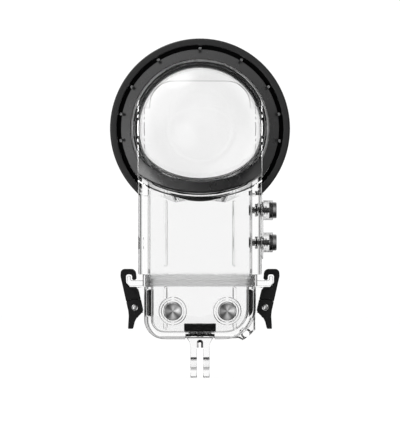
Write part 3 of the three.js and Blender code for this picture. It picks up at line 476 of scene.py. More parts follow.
def headDisc(radius, halfThick, edge=0.0):
    inset, depth = quarter(edge, 5)
    rim = np.stack([radius - depth, halfThick - inset], axis=1)
    profile = np.vstack([[(0, -halfThick)], rim[::-1] * (1, -1), rim, [(0, halfThick)]])
    return turned("disc", profile, centre, (0, 1, 0), head["steps"])


# A sphere about the head: radius times (cosine of height, sine of height) turned round.
def ball(radius, rows=72):
    profile = arc(radius, -pi / 2, pi / 2, rows)
    profile[[0, -1], 0] = 0
    return turned("ball", profile, centre, (0, 0, 1), head["steps"])


# The outline of the sloping roof, or of a layer at a height over it, and the walls below.
def houseLine(height, reach):
    fall, low = radians(head["roofFall"]), head["rise"] - far
    peak = head["rise"] + (height - head["roofDepth"]) / cos(fall)
    eaves = peak - reach * tan(fall)
    return [(0, peak), (-reach, eaves), (-reach, low), (reach, low), (reach, eaves)]


def roofWedge(height, halfWidth, edge=0.0):
    return pushed("wedge", houseLine(height, head["ringRadius"]), -halfWidth, halfWidth, "x", edge)


def cutBelow(piece, height):
    wedge = roofWedge(height, head["boxHalfWidth"] + head["room"])
    return cut(piece, headDisc(far, head["webHalf"] + height), wedge)


def frontHalf(piece):
    return keep(piece, box("half", (-far, far), (-far, 0), (head["rise"] - far, head["rise"] + far)))


# One ring of the stack: flat round the web, folded over the roof, or both.
def stackRing(low, high, inner, flatOuter, roofOuter):
    parts = []
    if flatOuter:
        parts.append(headDisc(flatOuter, head["webHalf"] + stack[high]))
    if roofOuter:
        parts.append(keep(roofWedge(stack[high], head["boxHalfWidth"], 0.3), ball(roofOuter)))
    ring = join(parts[0], *parts[1:]) if len(parts) > 1 else parts[0]
    return cut(cutBelow(frontHalf(ring), stack[low]), ball(inner))


domeShape = {"flangeOuter": 37.4, "seat": 42.5, "tabWidth": 1.4, "tabLow": 36.6, "tabHigh": 39.1}
domeShape["tabs"] = (0, 31.2, -31.2, 58.7, -58.7, 79.7, -79.7, 98.8, -98.8)
domeShape["ribs"] = {"x": (29.62, 29.88), "y": (-6.45, -4.7), "z": (91.8, 100.4)}


# A small key of the flange; its end carries a painted highlight, a bright point in the groove.
def domeTab(angle):
    wide = domeShape["tabWidth"] / 2
    low, high = domeShape["tabLow"], domeShape["tabHigh"]
    outline = rounded(fourCorners(-wide, wide, low, high), 0.3, 4)
    turn = radians(angle)
    spin = np.array([[cos(turn), -sin(turn)], [sin(turn), cos(turn)]])
    place = outline @ spin + (0, head["rise"])
    face = head["webHalf"]
    return pushed("tab", place, -face - stack["bezelHigh"] - 0.5, -face - stack["flangeLow"] - 0.2, "y")


def domePiece():
    top = stack["flangeHigh"]
    dome = ball(head["domeRadius"])
    seat = keep(roofWedge(top, head["boxHalfWidth"]), ball(domeShape["seat"]))
    join(dome, headDisc(domeShape["flangeOuter"], head["webHalf"] + top), seat)
    cut(frontHalf(dome), ball(head["domeRadius"] - head["domeWall"]))
    cutBelow(dome, stack["flangeLow"])
    join(dome, *[domeTab(angle) for angle in domeShape["tabs"]])
    ribs = domeShape["ribs"]
    places = [sorted(side * end for end in ribs["x"]) for side in (-1, 1)]
    join(dome, *[box("rib", x, ribs["y"], ribs["z"]) for x in places])
    return soften(dome, 40)


# Gives a second surface to the faces that pass a test of their middle: its distance sideways,
# its height over the web and its distance from the dome's line, all in millimetres.
def markFaces(piece, material, test):
    piece.data.materials.append(material)
    for face in piece.data.polygons:
        x, y, z = np.array(face.center) / millimetre - centre
        face.material_index = int(test(abs(x), abs(y) - head["webHalf"], np.hypot(x, z)))


# The keys' ends and the thin ribs, which get a painted highlight where they would catch the light.
def brightEdge(x, high, radius):
    low, top = domeShape["ribs"]["x"]
    key = radius > bezelShape["outer"] - 0.05 and high > 1.8
    return key or (low - 0.05 < x < top + 0.05 and high > 3)


def clearGasket(x, high, radius):
    return high < 15


# The ring's step faces down in the groove, which take the painted groove shade.
def ringStep(x, high, radius):
    return radius < ringShape["rimInner"] + 0.02 and high < ringShape["high"] - 0.9


def both(make, name, slot, material, node):
    front = make()
    rear = twin(front, "turned")
    dress(front, "front-" + name, "housing", slot, material, "front_" + node)
    dress(rear, "rear-" + name, "housing", slot, material, "rear_" + node)


both(domePiece, "dome", "clear_plastic", domeClear, "dome")

sealShape = {"inner": 30.5, "flatOuter": 37.4, "roofOuter": 39.3, "lipHalf": 20}
sealShape["lip"] = {"outer": 41.7, "inner": 41.15, "high": 1.3, "bound": 31.9, "drop": 3.1, "reach": 21.6}


# The gasket under the flange, and its lip: the part of a thin ball shell inside a circle.
def domeSealPiece():
    inner, flatOuter, roofOuter = sealShape["inner"], sealShape["flatOuter"], sealShape["roofOuter"]
    seal = stackRing("sealLow", "sealHigh", inner, flatOuter, roofOuter)
    lip = sealShape["lip"]
    edge = keep(roofWedge(lip["high"], sealShape["lipHalf"]), ball(lip["outer"]))
    cut(edge, ball(lip["inner"]))
    keep(edge, rod("bound", lip["bound"], centre - (0, 0, lip["drop"]), (0, 1, 0), -far, -lip["reach"], 128))
    return soften(join(seal, edge))


both(domeSealPiece, "dome-gasket", "rubber", sealRubber, "dome_seal")

bezelShape = {"inner": 33.3, "outer": 38.0, "sillOuter": 40.0, "crown": 0.7}


# The flat cover of the flange, a little lower at its outer edge than at its inner one.
def bezelPiece():
    low, high = head["webHalf"] + stack["bezelLow"], head["webHalf"] + stack["bezelHigh"]
    inner, outer, crown = bezelShape["inner"], bezelShape["outer"], bezelShape["crown"]
    corners = [(inner, low), (outer, low), (outer, high - crown), (inner, high)]
    ring = turnedRing("bezel", corners, 0.28, 5, centre, (0, -1, 0), head["steps"])
    cut(ring, roofWedge(stack["bezelHigh"] + head["room"], head["boxHalfWidth"] + head["room"]))
    return soften(ring, 40)


def sillPiece():
    return soften(stackRing("bezelLow", "bezelHigh", bezelShape["inner"], 0, bezelShape["sillOuter"]))


both(bezelPiece, "bezel", "black_gloss", glossBlack, "bezel")
both(sillPiece, "sill", "black_gloss", sillBlack, "sill")

ringShape = {"stepInner": 38.06, "rimInner": 40.0, "outer": 43.3, "low": 2.3, "stepHigh": 3.0, "high": 5.8}
ringShape.update({"round": 0.9, "opening": 28.0})


def ringPiece():
    low, step, high = ringShape["low"], ringShape["stepHigh"], ringShape["high"]
    stepInner, rimInner, outer = ringShape["stepInner"], ringShape["rimInner"], ringShape["outer"]
    corners = [(stepInner, low), (outer, low), (outer, high)]
    corners += [(rimInner, high), (rimInner, step), (stepInner, step)]
    radii = [0.15, 0.3, ringShape["round"], 0.5, 0.2, 0.2]
    ring = turnedRing("ring", corners, radii, 6, centre, (0, -1, 0), head["steps"])
    side = ringShape["opening"]
    cut(ring, box("opening", (-side, side), (-far, far), (head["rise"] - far, head["rise"])))
    return soften(ring, 40)


both(ringPiece, "outer-ring", "black_gloss", ringBlack, "outer_ring")
for end in ("front-", "rear-"):
    # The dome's key ends and ribs get the painted highlight.
    markFaces(bpy.data.objects[end + "dome"], glintWhite, brightEdge)
    markFaces(bpy.data.objects[end + "dome-gasket"], paleRubber, clearGasket)
    # The ring's step faces get painted shade.
    markFaces(bpy.data.objects[end + "outer-ring"], grooveShadeBlack, ringStep)
print("head made")

# Upper shell

shell = {
    "halfWidth": head["boxHalfWidth"],
    "halfDepth": 21.5,
    "corner": 2.6,
    "edge": 0.6,
    "roomHalfWidth": 25.0,
    "roomHalfDepth": 17.3,
    "roomCorner": 1.4,
    "collarBottom": 36.8,
    "collarTop": 42.5,
    "collarInset": 2.2,
    "roofWall": 1.7,
    "roofBall": 38.4,
    "arcEnd": 10.0,
    "webRadius": 42.0,
    "shoulderWidth": 5.0,
    "shoulderHeight": 12.0,
    "railX": 16.65,
    "railWidth": 1.7,
    "railProud": 1.0,
    "railEdge": 0.5,
    "seatBall": 41.1,
    "railLow": 46.05,
    "railHigh": 78.0,
    "cameraHalfWidth": 24.25,
    "cameraHalfDepth": 8.5,
    "cameraRise": 23.0,
    "cameraCorner": 11.0,
    "lensHalfWidth": 14.0,
    "lensHalfDepth": 16.9,
    "rebateGrow": 2.0,
    "rebateHigh": 42.2,
    "bossWidth": 13.0,
    "bossOut": 30.5,
    "bossLow": 49.7,
    "bossHigh": 81.2,
    "plugRise": 57.4,
    "plugRadius": 3.0,
    "plugDepth": 2.6,
    "neckInset": 0.3,
    "slotOut": 31,
    "slotDrops": (36, 22),
    "slotRoom": 0.15,
    "slotOver": 0.2,
    "plateEdge": 0.35,
    "thin": 0.05,
}
ear = {"inner": 26.4, "outer": 35.0, "floor": 39.4, "lip": 1.6, "top": 41.6, "halfWidth": 6.0}

# The push buttons: where the guard cup's floor stands, the way out, and the sizes that differ.
sideButton = {"out": (1, 0, 0), "cap": 3.9, "guard": (4.2, 4.8), "axis": "x"}
frontButton = {"out": (0, -1, 0), "cap": 4.5, "guard": (5.25, 6.75), "axis": "y"}
buttons = {
    "side-button-upper": {"floor": (30.5, 0, 73.2), **sideButton},
    "side-button-lower": {"floor": (30.5, 0, 57.7), **sideButton},
    "front-button-left": {"floor": (-13, -18.6, 25.1), **frontButton},
    "front-button-right": {"floor": (13, -18.6, 25.1), **frontButton},
}
bore = {"pocket": 3.1, "pocketDepth": 4.1, "shaft": 1.6, "through": 9.0, "guardHeight": 4.6, "notch": 1.3}
bore.update({"bush": 4.2, "bushLength": 5.5, "over": 3.0, "sharp": 0.01, "sunk": 0.3})


def guardCup(button):
    inner, outer = button["guard"]
    high, sharp = bore["guardHeight"], bore["sharp"]
    corners, radii = fourCorners(inner, outer, -bore["sunk"], high), [sharp, sharp, 0.8, 0.5]
    return turnedRing("guard", corners, radii, 8, button["floor"], button["out"], 72)


def buttonBore(button):
    place, out = button["floor"], button["out"]
    pocket = rod("pocket", bore["pocket"], place, out, -bore["pocketDepth"], bore["over"], 56)
    return join(pocket, rod("shaft", bore["shaft"], place, out, -bore["through"], 0.1, 40))


def webPlate():
    half, edge = head["webHalf"], shell["plateEdge"]
    disc = headDisc(shell["webRadius"], half, edge)
    inner, outer = shell["halfWidth"] - 3, shell["halfWidth"] + shell["shoulderWidth"]
    top = head["rise"] - head["roofDepth"] - shell["shoulderHeight"]
    middle, low = top - shell["shoulderWidth"], top - 2 * shell["shoulderWidth"]
    waist = shell["halfWidth"] + shell["shoulderWidth"] / 2
    for side in (-1, 1):
        corners = [(side * inner, top), (side * outer, top), (side * waist, middle)]
        corners += [(side * shell["halfWidth"], low), (side * inner, low)]
        outline = rounded(corners, [0, 0, 6, 6, 0], 8)
        join(disc, pushed("shoulder", outline, -half, half, "y", edge))
    return disc


def roundPlan(halfWide, halfDeep, corner, low, high, edge=0.0):
    return pushed("plan", rectangle(halfWide, halfDeep, corner), low, high, "z", edge)


def boxBody():
    wide, deep, corner, edge = shell["halfWidth"], shell["halfDepth"], shell["corner"], shell["edge"]
    body = roundPlan(wide, deep, corner, shell["collarTop"], head["rise"] + head["ringRadius"], edge)
    thin = shell["thin"]
    house = rounded(houseLine(0, deep + thin), [0, 2, 0, 0, 2], 8)
    keep(body, pushed("house", house, -wide - thin, wide + thin, "x", edge))
    inset = shell["collarInset"]
    collar = roundPlan(wide - inset, deep - inset, corner, shell["collarBottom"], shell["collarTop"] + 1, 0.3)
    seat = keep(roofWedge(0, wide * 0.7), ball(shell["seatBall"]))
    return join(body, collar, seat)


# The two round-ended rails that run from the front of a box to its back.
def rails(low, high, deep):
    half = shell["railWidth"] / 2
    pair = []
    for x in (-shell["railX"], shell["railX"]):
        outline = rounded(fourCorners(x - half, x + half, low, high), half, 8)
        pair.append(pushed("rail", outline, -deep, deep, "y", shell["railEdge"]))
    return pair


def earPiece(side):
    outer, floor, lip, low = ear["outer"], ear["floor"], ear["lip"], shell["collarBottom"]
    corners = [(ear["inner"], low), (outer, low), (outer, ear["top"]), (outer - lip, ear["top"])]
    corners += [(outer - lip, floor), (ear["inner"], floor)]
    outline = rounded(corners, [0, 2.0, 0.5, 0.5, 0.9, 0], 8) * (side, 1)
    return pushed("ear", outline, -ear["halfWidth"], ear["halfWidth"], "y", shell["plateEdge"])


# All the room inside: the camera's, its way through the web, the domes' and the gasket's.
def insideRoom():
    wide, deep, corner = shell["roomHalfWidth"], shell["roomHalfDepth"], shell["roomCorner"]
    bottom, inner = shell["collarBottom"] - 3, head["domeRadius"] - head["domeWall"]
    room = roundPlan(wide, deep, corner, bottom, head["rise"])
    keep(room, roofWedge(-shell["roofWall"], shell["halfWidth"] + 3))
    cut(room, ball(shell["roofBall"]))
    half, rise = shell["cameraHalfWidth"], shell["cameraRise"]
    low, top = head["rise"] - 2 * rise, head["rise"] + rise
    radii = [0, 0, shell["cameraCorner"], shell["cameraCorner"]]
    way = rounded(fourCorners(-half, half, low, top), radii, 20)
    passage = pushed("passage", way, -shell["cameraHalfDepth"], shell["cameraHalfDepth"], "y")
    oval = circle((shell["lensHalfWidth"], shell["lensHalfDepth"]), steps=72)
    lens = pushed("lens", oval, low, head["rise"], "z")
    domes = cut(ball(inner), headDisc(head["ringRadius"], head["webHalf"]))
    inset, grow = shell["neckInset"], shell["rebateGrow"]
    sizes = (wide - inset + grow, deep - inset + grow, corner + grow)
    rebate = roundPlan(*sizes, bottom, shell["rebateHigh"])
    sides = rod("sides", inner, centre, (0, 1, 0), -2.5, 2.5, head["steps"])
    keep(sides, box("below", (-far, far), (-3, 3), (head["rise"] - far, head["rise"] + shell["arcEnd"])))
    return join(room, passage, lens, domes, sides, rebate)


def sideBoss():
    half, middle = shell["bossWidth"] / 2, (shell["bossLow"] + shell["bossHigh"]) / 2
    tall = (shell["bossHigh"] - shell["bossLow"]) / 2
    outline = rectangle(half, tall, half, 14) + (0, middle)
    return pushed("boss", outline, shell["halfWidth"] - 3, shell["bossOut"], "x", 0.45)


# The slots that take the ends of the outer rings, cut one after the other.
def cutSlots(piece):
    low, high = (head["rise"] - drop for drop in shell["slotDrops"])
    inner, outer, room = ringShape["opening"] - shell["slotRoom"], shell["slotOut"], shell["slotRoom"]
    for side in (-1, 1):
        y = sorted((side * (ringShape["low"] - room), side * (ringShape["high"] + shell["slotOver"])))
        for x in ((-outer, -inner), (inner, outer)):
            cut(piece, box("slot", x, y, (low, high)))


def shellPiece():
    piece = webPlate()
    pair = rails(shell["railLow"], shell["railHigh"], shell["halfDepth"] + shell["railProud"])
    join(piece, boxBody(), *pair, sideBoss(), earPiece(-1), earPiece(1))
    cut(piece, insideRoom())
    sides = [buttons["side-button-upper"], buttons["side-button-lower"]]
    join(piece, *[guardCup(button) for button in sides])
    cutSlots(piece)
    place = (-shell["halfWidth"], 0, shell["plugRise"])
    plug = rod("plug", shell["plugRadius"], place, (-1, 0, 0), -shell["plugDepth"], 3)
    cut(piece, *[buttonBore(button) for button in sides], plug)
    return soften(piece, 30)


dress(shellPiece(), "upper-shell", "housing", "clear_plastic", shellClear, "main_shell")
print("upper shell made")

# Base cup

cup = {
    "halfWidth": 26.7,
    "halfDepth": 18.6,
    "low": 11.5,
    "rim": 36.5,
    "neck": 40.5,
    "corner": 9.6,
    "lugCorner": 15.0,
    "planCorner": 2.6,
    "wall": 3.2,
    "lowEdge": 1.9,
    "ribLow": 16.0,
    "lugX": 22.2,
    "lugZ": 13.8,
    "lugHalf": 2.5,
    "lugHole": 1.6,
    "lugMargin": 3.4,
    "lugBevel": 0.9,
    "pivotX": 31.35,
    "pivotZ": 26.5,
    "pivotBore": 1.5,
    "pivotBoss": 2.7,
    "pivotHalf": 2.6,
    "footHalfX": 7.05,
    "footHalfY": 7.8,
    "footHigh": 14.4,
    "padOut": 24.7,
    "padHalf": 8.0,
    "padLow": 22.5,
    "padHigh": 35.0,
    "padRoom": 0.3,
    "sunk": 1.6,
    "rimGap": 0.3,
}
# The foot's two screws and its dowel: where each stands in x and the radius of its hole.
fixings = ((-3.5, 2.0), (0, 1.35), (3.5, 2.0))


# The cup's solid, layer on layer: each lower edge is a quarter circle of its own radius, so a
# layer's reach = full reach - radius + square root of (radius^2 - (radius - height)^2).
def cupSolid(inset, top, planCorner, lowEdge):
    low = cup["low"] + inset
    radii = {"left": cup["corner"] - inset, "right": cup["lugCorner"] - inset, "deep": lowEdge}
    turn = np.linspace(0, pi / 2, 22)
    levels = np.concatenate([radius * (1 - np.cos(turn)) for radius in radii.values()] + [[top - low]])
    levels = np.unique(levels.round(3))
    levels = levels[np.insert(np.diff(levels) > 0.02, 0, True)]
    wide = cup["halfWidth"] - inset
    full = {"left": wide, "right": wide, "deep": cup["halfDepth"] - inset}
    reach = {}
    for name, radius in radii.items():
        short = np.clip(radius - levels, 0, radius)
        reach[name] = full[name] - radius + np.sqrt(radius**2 - short**2)
    plans = [
        rectangle((left + right) / 2, deep, planCorner) + ((right - left) / 2, 0)
        for left, right, deep in zip(reach["left"], reach["right"], reach["deep"])
    ]
    return layered("cup", plans, low + levels, "z")


def lanyardLug():
    x, z, margin = cup["lugX"], cup["lugZ"], cup["lugMargin"]
    inner, high = cup["halfWidth"] - cup["lugCorner"], cup["low"] + cup["lugCorner"]
    corners = [(inner, cup["low"]), (x - margin, cup["low"]), (x - margin / 2, z - margin)]
    corners += [(cup["halfWidth"], z + margin / 2), (cup["halfWidth"], high)]
    corners.append((cup["halfWidth"] - cup["sunk"], high))
    outline = rounded(corners, [0, 1.1, 1.1, 1.1, 0, 0], 6)
    half, bevel = cup["lugHalf"], cup["lugBevel"]
    outlines = [inward(outline, by) for by in (0.3, 0, 0, bevel)]
    return layered("lug", outlines, [-half, 0.3 - half, half - bevel, half], "y")


def lugHole():
    outline = circle(cup["lugHole"], (cup["lugX"], cup["lugZ"]))
    half, bevel = cup["lugHalf"], cup["lugBevel"]
    rims = [inward(outline, -by) for by in (0, 0, bevel, bevel + 1)]
    return layered("hole", rims, [-half - 1, half - bevel, half, half + 1], "y")


# The lug that carries a latch: a round boss on a tapering bracket.
def latchLug(side):
    x, z, radius = cup["pivotX"], cup["pivotZ"], cup["pivotBoss"]
    wall, top = cup["halfWidth"] - cup["sunk"], cup["rim"] - cup["rimGap"]
    corners = [(wall, top), (x - 1.2, top), (x + radius * 0.707, z + radius * 0.707)]
    corners += [(x, z - radius), (wall, z - radius)]
    bracket = rounded(corners, [0, 0.5, 1.2, 1.2, 0], 6) * (side, 1)
    boss, half, edge = circle(radius, (side * x, z)), cup["pivotHalf"], shell["plateEdge"]
    return join(*[pushed("lug", outline, -half, half, "y", edge) for outline in (boss, bracket)])


def frontGuard(button):
    x, y, z = button["floor"]
    half, outer = bore["notch"] / 2, y - bore["guardHeight"]
    reach = button["guard"][1] + 3
    notch = box("notch", (x - half, x + half), (outer - 3, outer + bore["notch"]), (z - reach, z + reach))
    return cut(guardCup(button), notch)


def fixingHoles(low, high):
    return [rod("hole", radius, (x, 0, 0), (0, 0, 1), low, high, 40) for x, radius in fixings]


# The hollows in the side walls that take the pads.
def padRooms():
    half, room = cup["padHalf"] + cup["padRoom"], cup["padRoom"]
    rooms = []
    for side in (-1, 1):
        x = sorted((side * (cup["padOut"] + room), side * (cup["halfWidth"] - cup["wall"] - 3)))
        rooms.append(box("pad", x, (-half, half), (cup["padLow"] - room, cup["padHigh"] + room)))
    return rooms


def cupPiece():
    deep, floor, rim = cup["halfDepth"], cup["low"], cup["rim"]
    piece = cupSolid(0, rim, cup["planCorner"], cup["lowEdge"])
    inset = shell["neckInset"]
    wide, long, corner = shell["roomHalfWidth"] - inset, shell["roomHalfDepth"] - inset, shell["roomCorner"]
    neck = roundPlan(wide, long, corner, rim - 3, cup["neck"], 0.4)
    ribs = rails(cup["ribLow"], rim - cup["rimGap"], deep + shell["railProud"])
    join(piece, neck, *ribs, lanyardLug(), latchLug(-1), latchLug(1))
    cut(piece, cupSolid(cup["wall"], cup["neck"] + 3, shell["roomCorner"], 0.5))
    fronts = [buttons["front-button-left"], buttons["front-button-right"]]
    low, high = -bore["bushLength"], -bore["sunk"]
    join(piece, *[rod("bush", bore["bush"], b["floor"], b["out"], low, high, 56) for b in fronts])
    cut(piece, *[rod("room", b["guard"][0] + 0.5, b["floor"], b["out"], 0, bore["over"], 56) for b in fronts])
    join(piece, *[frontGuard(b) for b in fronts])
    cut(piece, lugHole(), *[buttonBore(b) for b in fronts])
    places = [(side * cup["pivotX"], 0, cup["pivotZ"]) for side in (-1, 1)]
    pivots = [rod("pivot", cup["pivotBore"], place, (0, 1, 0), -deep, deep, 40) for place in places]
    x, y = cup["footHalfX"], cup["footHalfY"]
    pocket = box("pocket", (-x, x), (-deep - 3, y), (floor - 3, cup["footHigh"]))
    cut(piece, *pivots, pocket, *fixingHoles(floor - 1, floor + 6), *padRooms())
    return soften(piece, 30)


dress(cupPiece(), "base-cup", "housing", "clear_plastic", baseClear, "base_cup")
print("base cup made")

# Foot

foot = {
    "wide": 6.75,
    "narrow": 4.6,
    "top": 12.65,
    "flareTop": 12.0,
    "flareLow": 7.4,
    "flarePower": 2.2,
    "prongRadius": 7.5,
    "slotHalf": 1.5,
    "slotTop": 10.8,
    "archLow": 7.2,
    "archDeep": 1.0,
    "archShare": 0.98,
    "edge": 0.45,
    "bore": 2.6,
    "boreEdge": 0.15,
}


# The curved flare: width = narrow + (wide - narrow) * share to a power, going up.
def flareOutline():
    share = np.linspace(0, 1, 14)
    wide = foot["narrow"] + (foot["wide"] - foot["narrow"]) * share ** foot["flarePower"]
    high = foot["flareLow"] + (foot["flareTop"] - foot["flareLow"]) * share
    right = np.stack([wide, high], axis=1)
    right = np.vstack([[(foot["narrow"], foot["flareLow"] - 1)], right, [(foot["wide"], foot["top"])]])
    return np.vstack([right, right[::-1] * (-1, 1)])


# Two prongs with round ends, the flare over them, and a slot under an arch whose far rim is cut
# back at 45 degrees, so that it looks dark from in front.
def footPiece():
    radius, edge, half, narrow = foot["prongRadius"], foot["edge"], foot["slotHalf"], foot["narrow"]
    piece = pushed("foot", flareOutline(), -radius, radius, "y", edge)
    top = foot["flareLow"] + 1
    profile = np.vstack([arc(radius, pi, 2 * pi, 48), [(radius, top), (-radius, top)]])
    join(piece, *twoSided(pushed, "prong", profile, half, narrow, "x", edge))
    over = radius + 3
    slot = pushed("slot", fourCorners(-half, half, -over, foot["archLow"]), -over, over, "y")
    deep, rims = foot["archDeep"], []
    for grow in (0, 0, deep, deep + 0.5):
        wide, top, low = half - deep + grow, foot["slotTop"] - deep + grow, foot["archLow"] - 1 - grow
        bend = wide * foot["archShare"]
        rims.append(rounded(fourCorners(-wide, wide, low, top), [0, 0, bend, bend], 10))
    arch = layered("arch", rims, [-radius - 1, radius - deep, radius, radius + 0.5], "y")
    holes = twoSided(flared, "hole", circle(foot["bore"], steps=64), half, narrow, "x", foot["boreEdge"])
    cut(piece, slot, arch, *holes)
    return soften(piece, 30)


dress(footPiece(), "two-prong-foot", "housing", "clear_plastic", footClear, "mount_bracket")
print("foot made")

# Seals, pads and the foot's fixings

gasket = {"grow": 1.65, "low": 36.8, "high": 42.0, "ribs": 3, "room": 0.3}


def gasketPiece():
    inset, grow, room = shell["neckInset"], gasket["grow"], gasket["room"]
    low, high = gasket["low"], gasket["high"]
    wide, deep = shell["roomHalfWidth"] - inset + room, shell["roomHalfDepth"] - inset + room
    corner = shell["roomCorner"] + room
    ends = np.linspace(low, high, gasket["ribs"] + 1)
    ring = join(*[
        roundPlan(wide + grow, deep + grow, corner + grow, start - 0.05, end + 0.05, 0.45)
        for start, end in zip(ends[:-1], ends[1:])
    ])
    cut(ring, roundPlan(wide, deep, corner, low - 1, high + 1))
    return soften(ring, 40)


dress(gasketPiece(), "base-gasket", "housing", "rubber", paleRubber, "base_gasket")

pad = {"inner": 23.5, "pitch": 1.6, "grooveHalf": 0.25, "grooveDeep": 0.3, "margin": 1.2}


# A side pad with shallow upright grooves in its inner face.
def padPiece(side):
    half, low, high = cup["padHalf"], cup["padLow"], cup["padHigh"]
    inner, margin = side * pad["inner"], pad["margin"]
    x = sorted((inner, side * cup["padOut"]))
    outline = rectangle(half, (high - low) / 2, 1.2, 6) + (0, (high + low) / 2)
    piece = pushed("pad", outline, x[0], x[1], "x", 0.25)
    thin, deep = pad["grooveHalf"], pad["grooveDeep"]
    grooves = [
        box("groove", (inner - deep, inner + deep), (y - thin, y + thin), (low + margin, high - margin))
        for y in np.arange(-3, 4) * pad["pitch"]
    ]
    return soften(cut(piece, *grooves), 40)


for side, sideName in ((-1, "left"), (1, "right")):
    dress(padPiece(side), "side-pad-" + sideName, "housing", "rubber", padRubber, "side_pad_" + sideName)

plug = {"radius": 2.7, "depth": 2.3}


def plugPiece():
    radius, depth = plug["radius"], plug["depth"]
    profile = [(0, -depth), (radius - 0.2, -depth), (radius, 0.2 - depth), (radius, -0.25)]
    profile += [(radius - 0.25, 0), (radius * 0.55, 0), (radius * 0.5, -0.3), (0, -0.3)]
    place = (-shell["halfWidth"], 0, shell["plugRise"])
    return soften(turned("plug", profile, place, (-1, 0, 0), 64), 40)


dress(plugPiece(), "wall-plug", "housing", "rubber", sealRubber, "wall_plug")

retainer = {"x": 7.65, "y": 7.5, "low": 15.0, "high": 18.6, "sink": 2.9, "sinkDeep": 1.9}
retainer["dowelDeep"] = 1.3


def retainerPiece():
    low, high, up = retainer["low"], retainer["high"], (0, 0, 1)
    block = roundPlan(retainer["x"], retainer["y"], 0.8, low, high, 0.35)
    left, middle, right = fixings
    deep, screws = -retainer["sinkDeep"], (left, right)
    sinks = [rod("sink", retainer["sink"], (x, 0, high), up, deep, 3, 48) for x, radius in screws]
    holes = [rod("hole", radius, (x, 0, low), up, -1, 9, 40) for x, radius in screws]
    cut(block, *sinks, *holes, rod("dowel", middle[1], (0, 0, low), up, -1, retainer["dowelDeep"], 32))
    return soften(block, 40)


dress(retainerPiece(), "mount-retainer", "housing", "black_matte", matteBlack, "mount_retainer")

footSeal = {"x": 7.0, "y": 7.5, "low": 12.7, "high": 13.5}


def footSealPiece():
    seal = roundPlan(footSeal["x"], footSeal["y"], 0.6, footSeal["low"], footSeal["high"], 0.2)
    return soften(cut(seal, *fixingHoles(12, 15)), 40)


dress(footSealPiece(), "mount-gasket", "housing", "rubber", sealRubber, "mount_gasket")

screw = {"shank": 1.7, "head": 2.6, "headHigh": 1.6, "top": 18.6, "low": 12.75, "socket": 0.95}
screw.update({"socketDeep": 1.0, "pitch": 0.55, "threadDeep": 0.16})
screw.update({"collar": 2.03, "collarSpan": (13.52, 14.95)})


# A socket screw: its thread is a run of small ridges down the shank, its socket has six sides.
def screwPiece(x):
    high, low, shank, wide = screw["top"], screw["low"], screw["shank"], screw["head"]
    under = high - screw["headHigh"]
    count = int((under - 0.8 - low) / screw["pitch"])
    crest = low + 0.3 + np.arange(count) * screw["pitch"]
    valley, ridge = np.full(count, shank - screw["threadDeep"]), np.full(count, shank)
    thread = np.column_stack([valley, crest, ridge, crest + screw["pitch"] / 2]).reshape(-1, 2)
    collar, (bottom, top) = screw["collar"], screw["collarSpan"]
    below, above = thread[thread[:, 1] < bottom - 0.1], thread[thread[:, 1] > top + 0.1]
    sleeve = [(shank, bottom), (collar, bottom), (collar, top), (shank, top)]
    profile = [(0, low), (shank - 0.3, low), *below.tolist(), *sleeve, *above.tolist()]
    profile += [(shank, under - 0.4), (shank, under), (wide, under), (wide, high - 0.25), (wide - 0.25, high)]
    piece = turned("screw", [*profile, (0, high)], (x, 0, 0), (0, 0, 1), 64)
    hexagon = circle(screw["socket"], (x, 0), 6)
    cut(piece, pushed("socket", hexagon, high - screw["socketDeep"], high + 1, "z"))
    return soften(piece, 35)


for x, sideName in ((fixings[0][0], "left"), (fixings[2][0], "right")):
    name = "foot-screw-" + sideName
    dress(screwPiece(x), name, "housing", "turned_steel", satinSteel, "bracket_screw_" + sideName)

dowelProfile = [(0, 12.75), (0.85, 12.75), (1.05, 12.95), (1.05, 13.52), (1.37, 13.52), (1.37, 14.95)]
dowelProfile += [(1.05, 14.95), (1.05, 15.8), (0.85, 16.0), (0, 16.0)]
dowel = soften(turned("dowel", dowelProfile, (0, 0, 0), (0, 0, 1), 48), 35)
dress(dowel, "foot-dowel", "housing", "turned_steel", satinSteel, "bracket_dowel")
print("seals and fixings made")

# Push buttons

press = {
    "capLow": 2.8,
    "capHigh": 6.4,
    "edge": 0.45,
    "dish": 0.5,
    "shaft": 1.3,
    "tipHigh": -5.8,
    "tipLow": -7.0,
    "tipRadius": 2.5,
    "sealLow": -3.8,
    "sealHigh": -1.9,
    "sealInner": 1.6,
    "sealOuter": 2.8,
    "sealGroove": 0.3,
    "sealLips": 0.35,
    "springLow": -1.6,
    "springHigh": 2.5,
    "springRadius": 1.95,
    "wire": 0.45,
    "curls": 3,
    "curlSteps": 48,
    "wireSides": 14,
}


# The cap, its fine grooves and its shaft: the crown is a shallow cone toward the middle.
def capPiece(button):
    radius, edge, low, high = button["cap"], press["edge"], press["capLow"], press["capHigh"]
    shaft, end, dish = press["shaft"], press["tipHigh"] - 0.6, high - press["dish"]
    profile = [(0, end), (shaft - 0.15, end), (shaft, end + 0.15), (shaft, low), (radius - 0.2, low)]
    profile += [(radius, low + 0.2), (radius, low + 0.9), (radius - 0.15, low + 1.0)]
    profile += [(radius - 0.15, low + 1.3), (radius, low + 1.4), (radius, high - edge)]
    profile += [(radius - 0.1, high - 0.15), (radius - 0.35, high), (radius - 0.8, high)]
    profile += [(radius - 1.0, high - 0.12), (0.5, dish), (0, dish)]
    return soften(turned("cap", profile, button["floor"], button["out"], 112), 25)


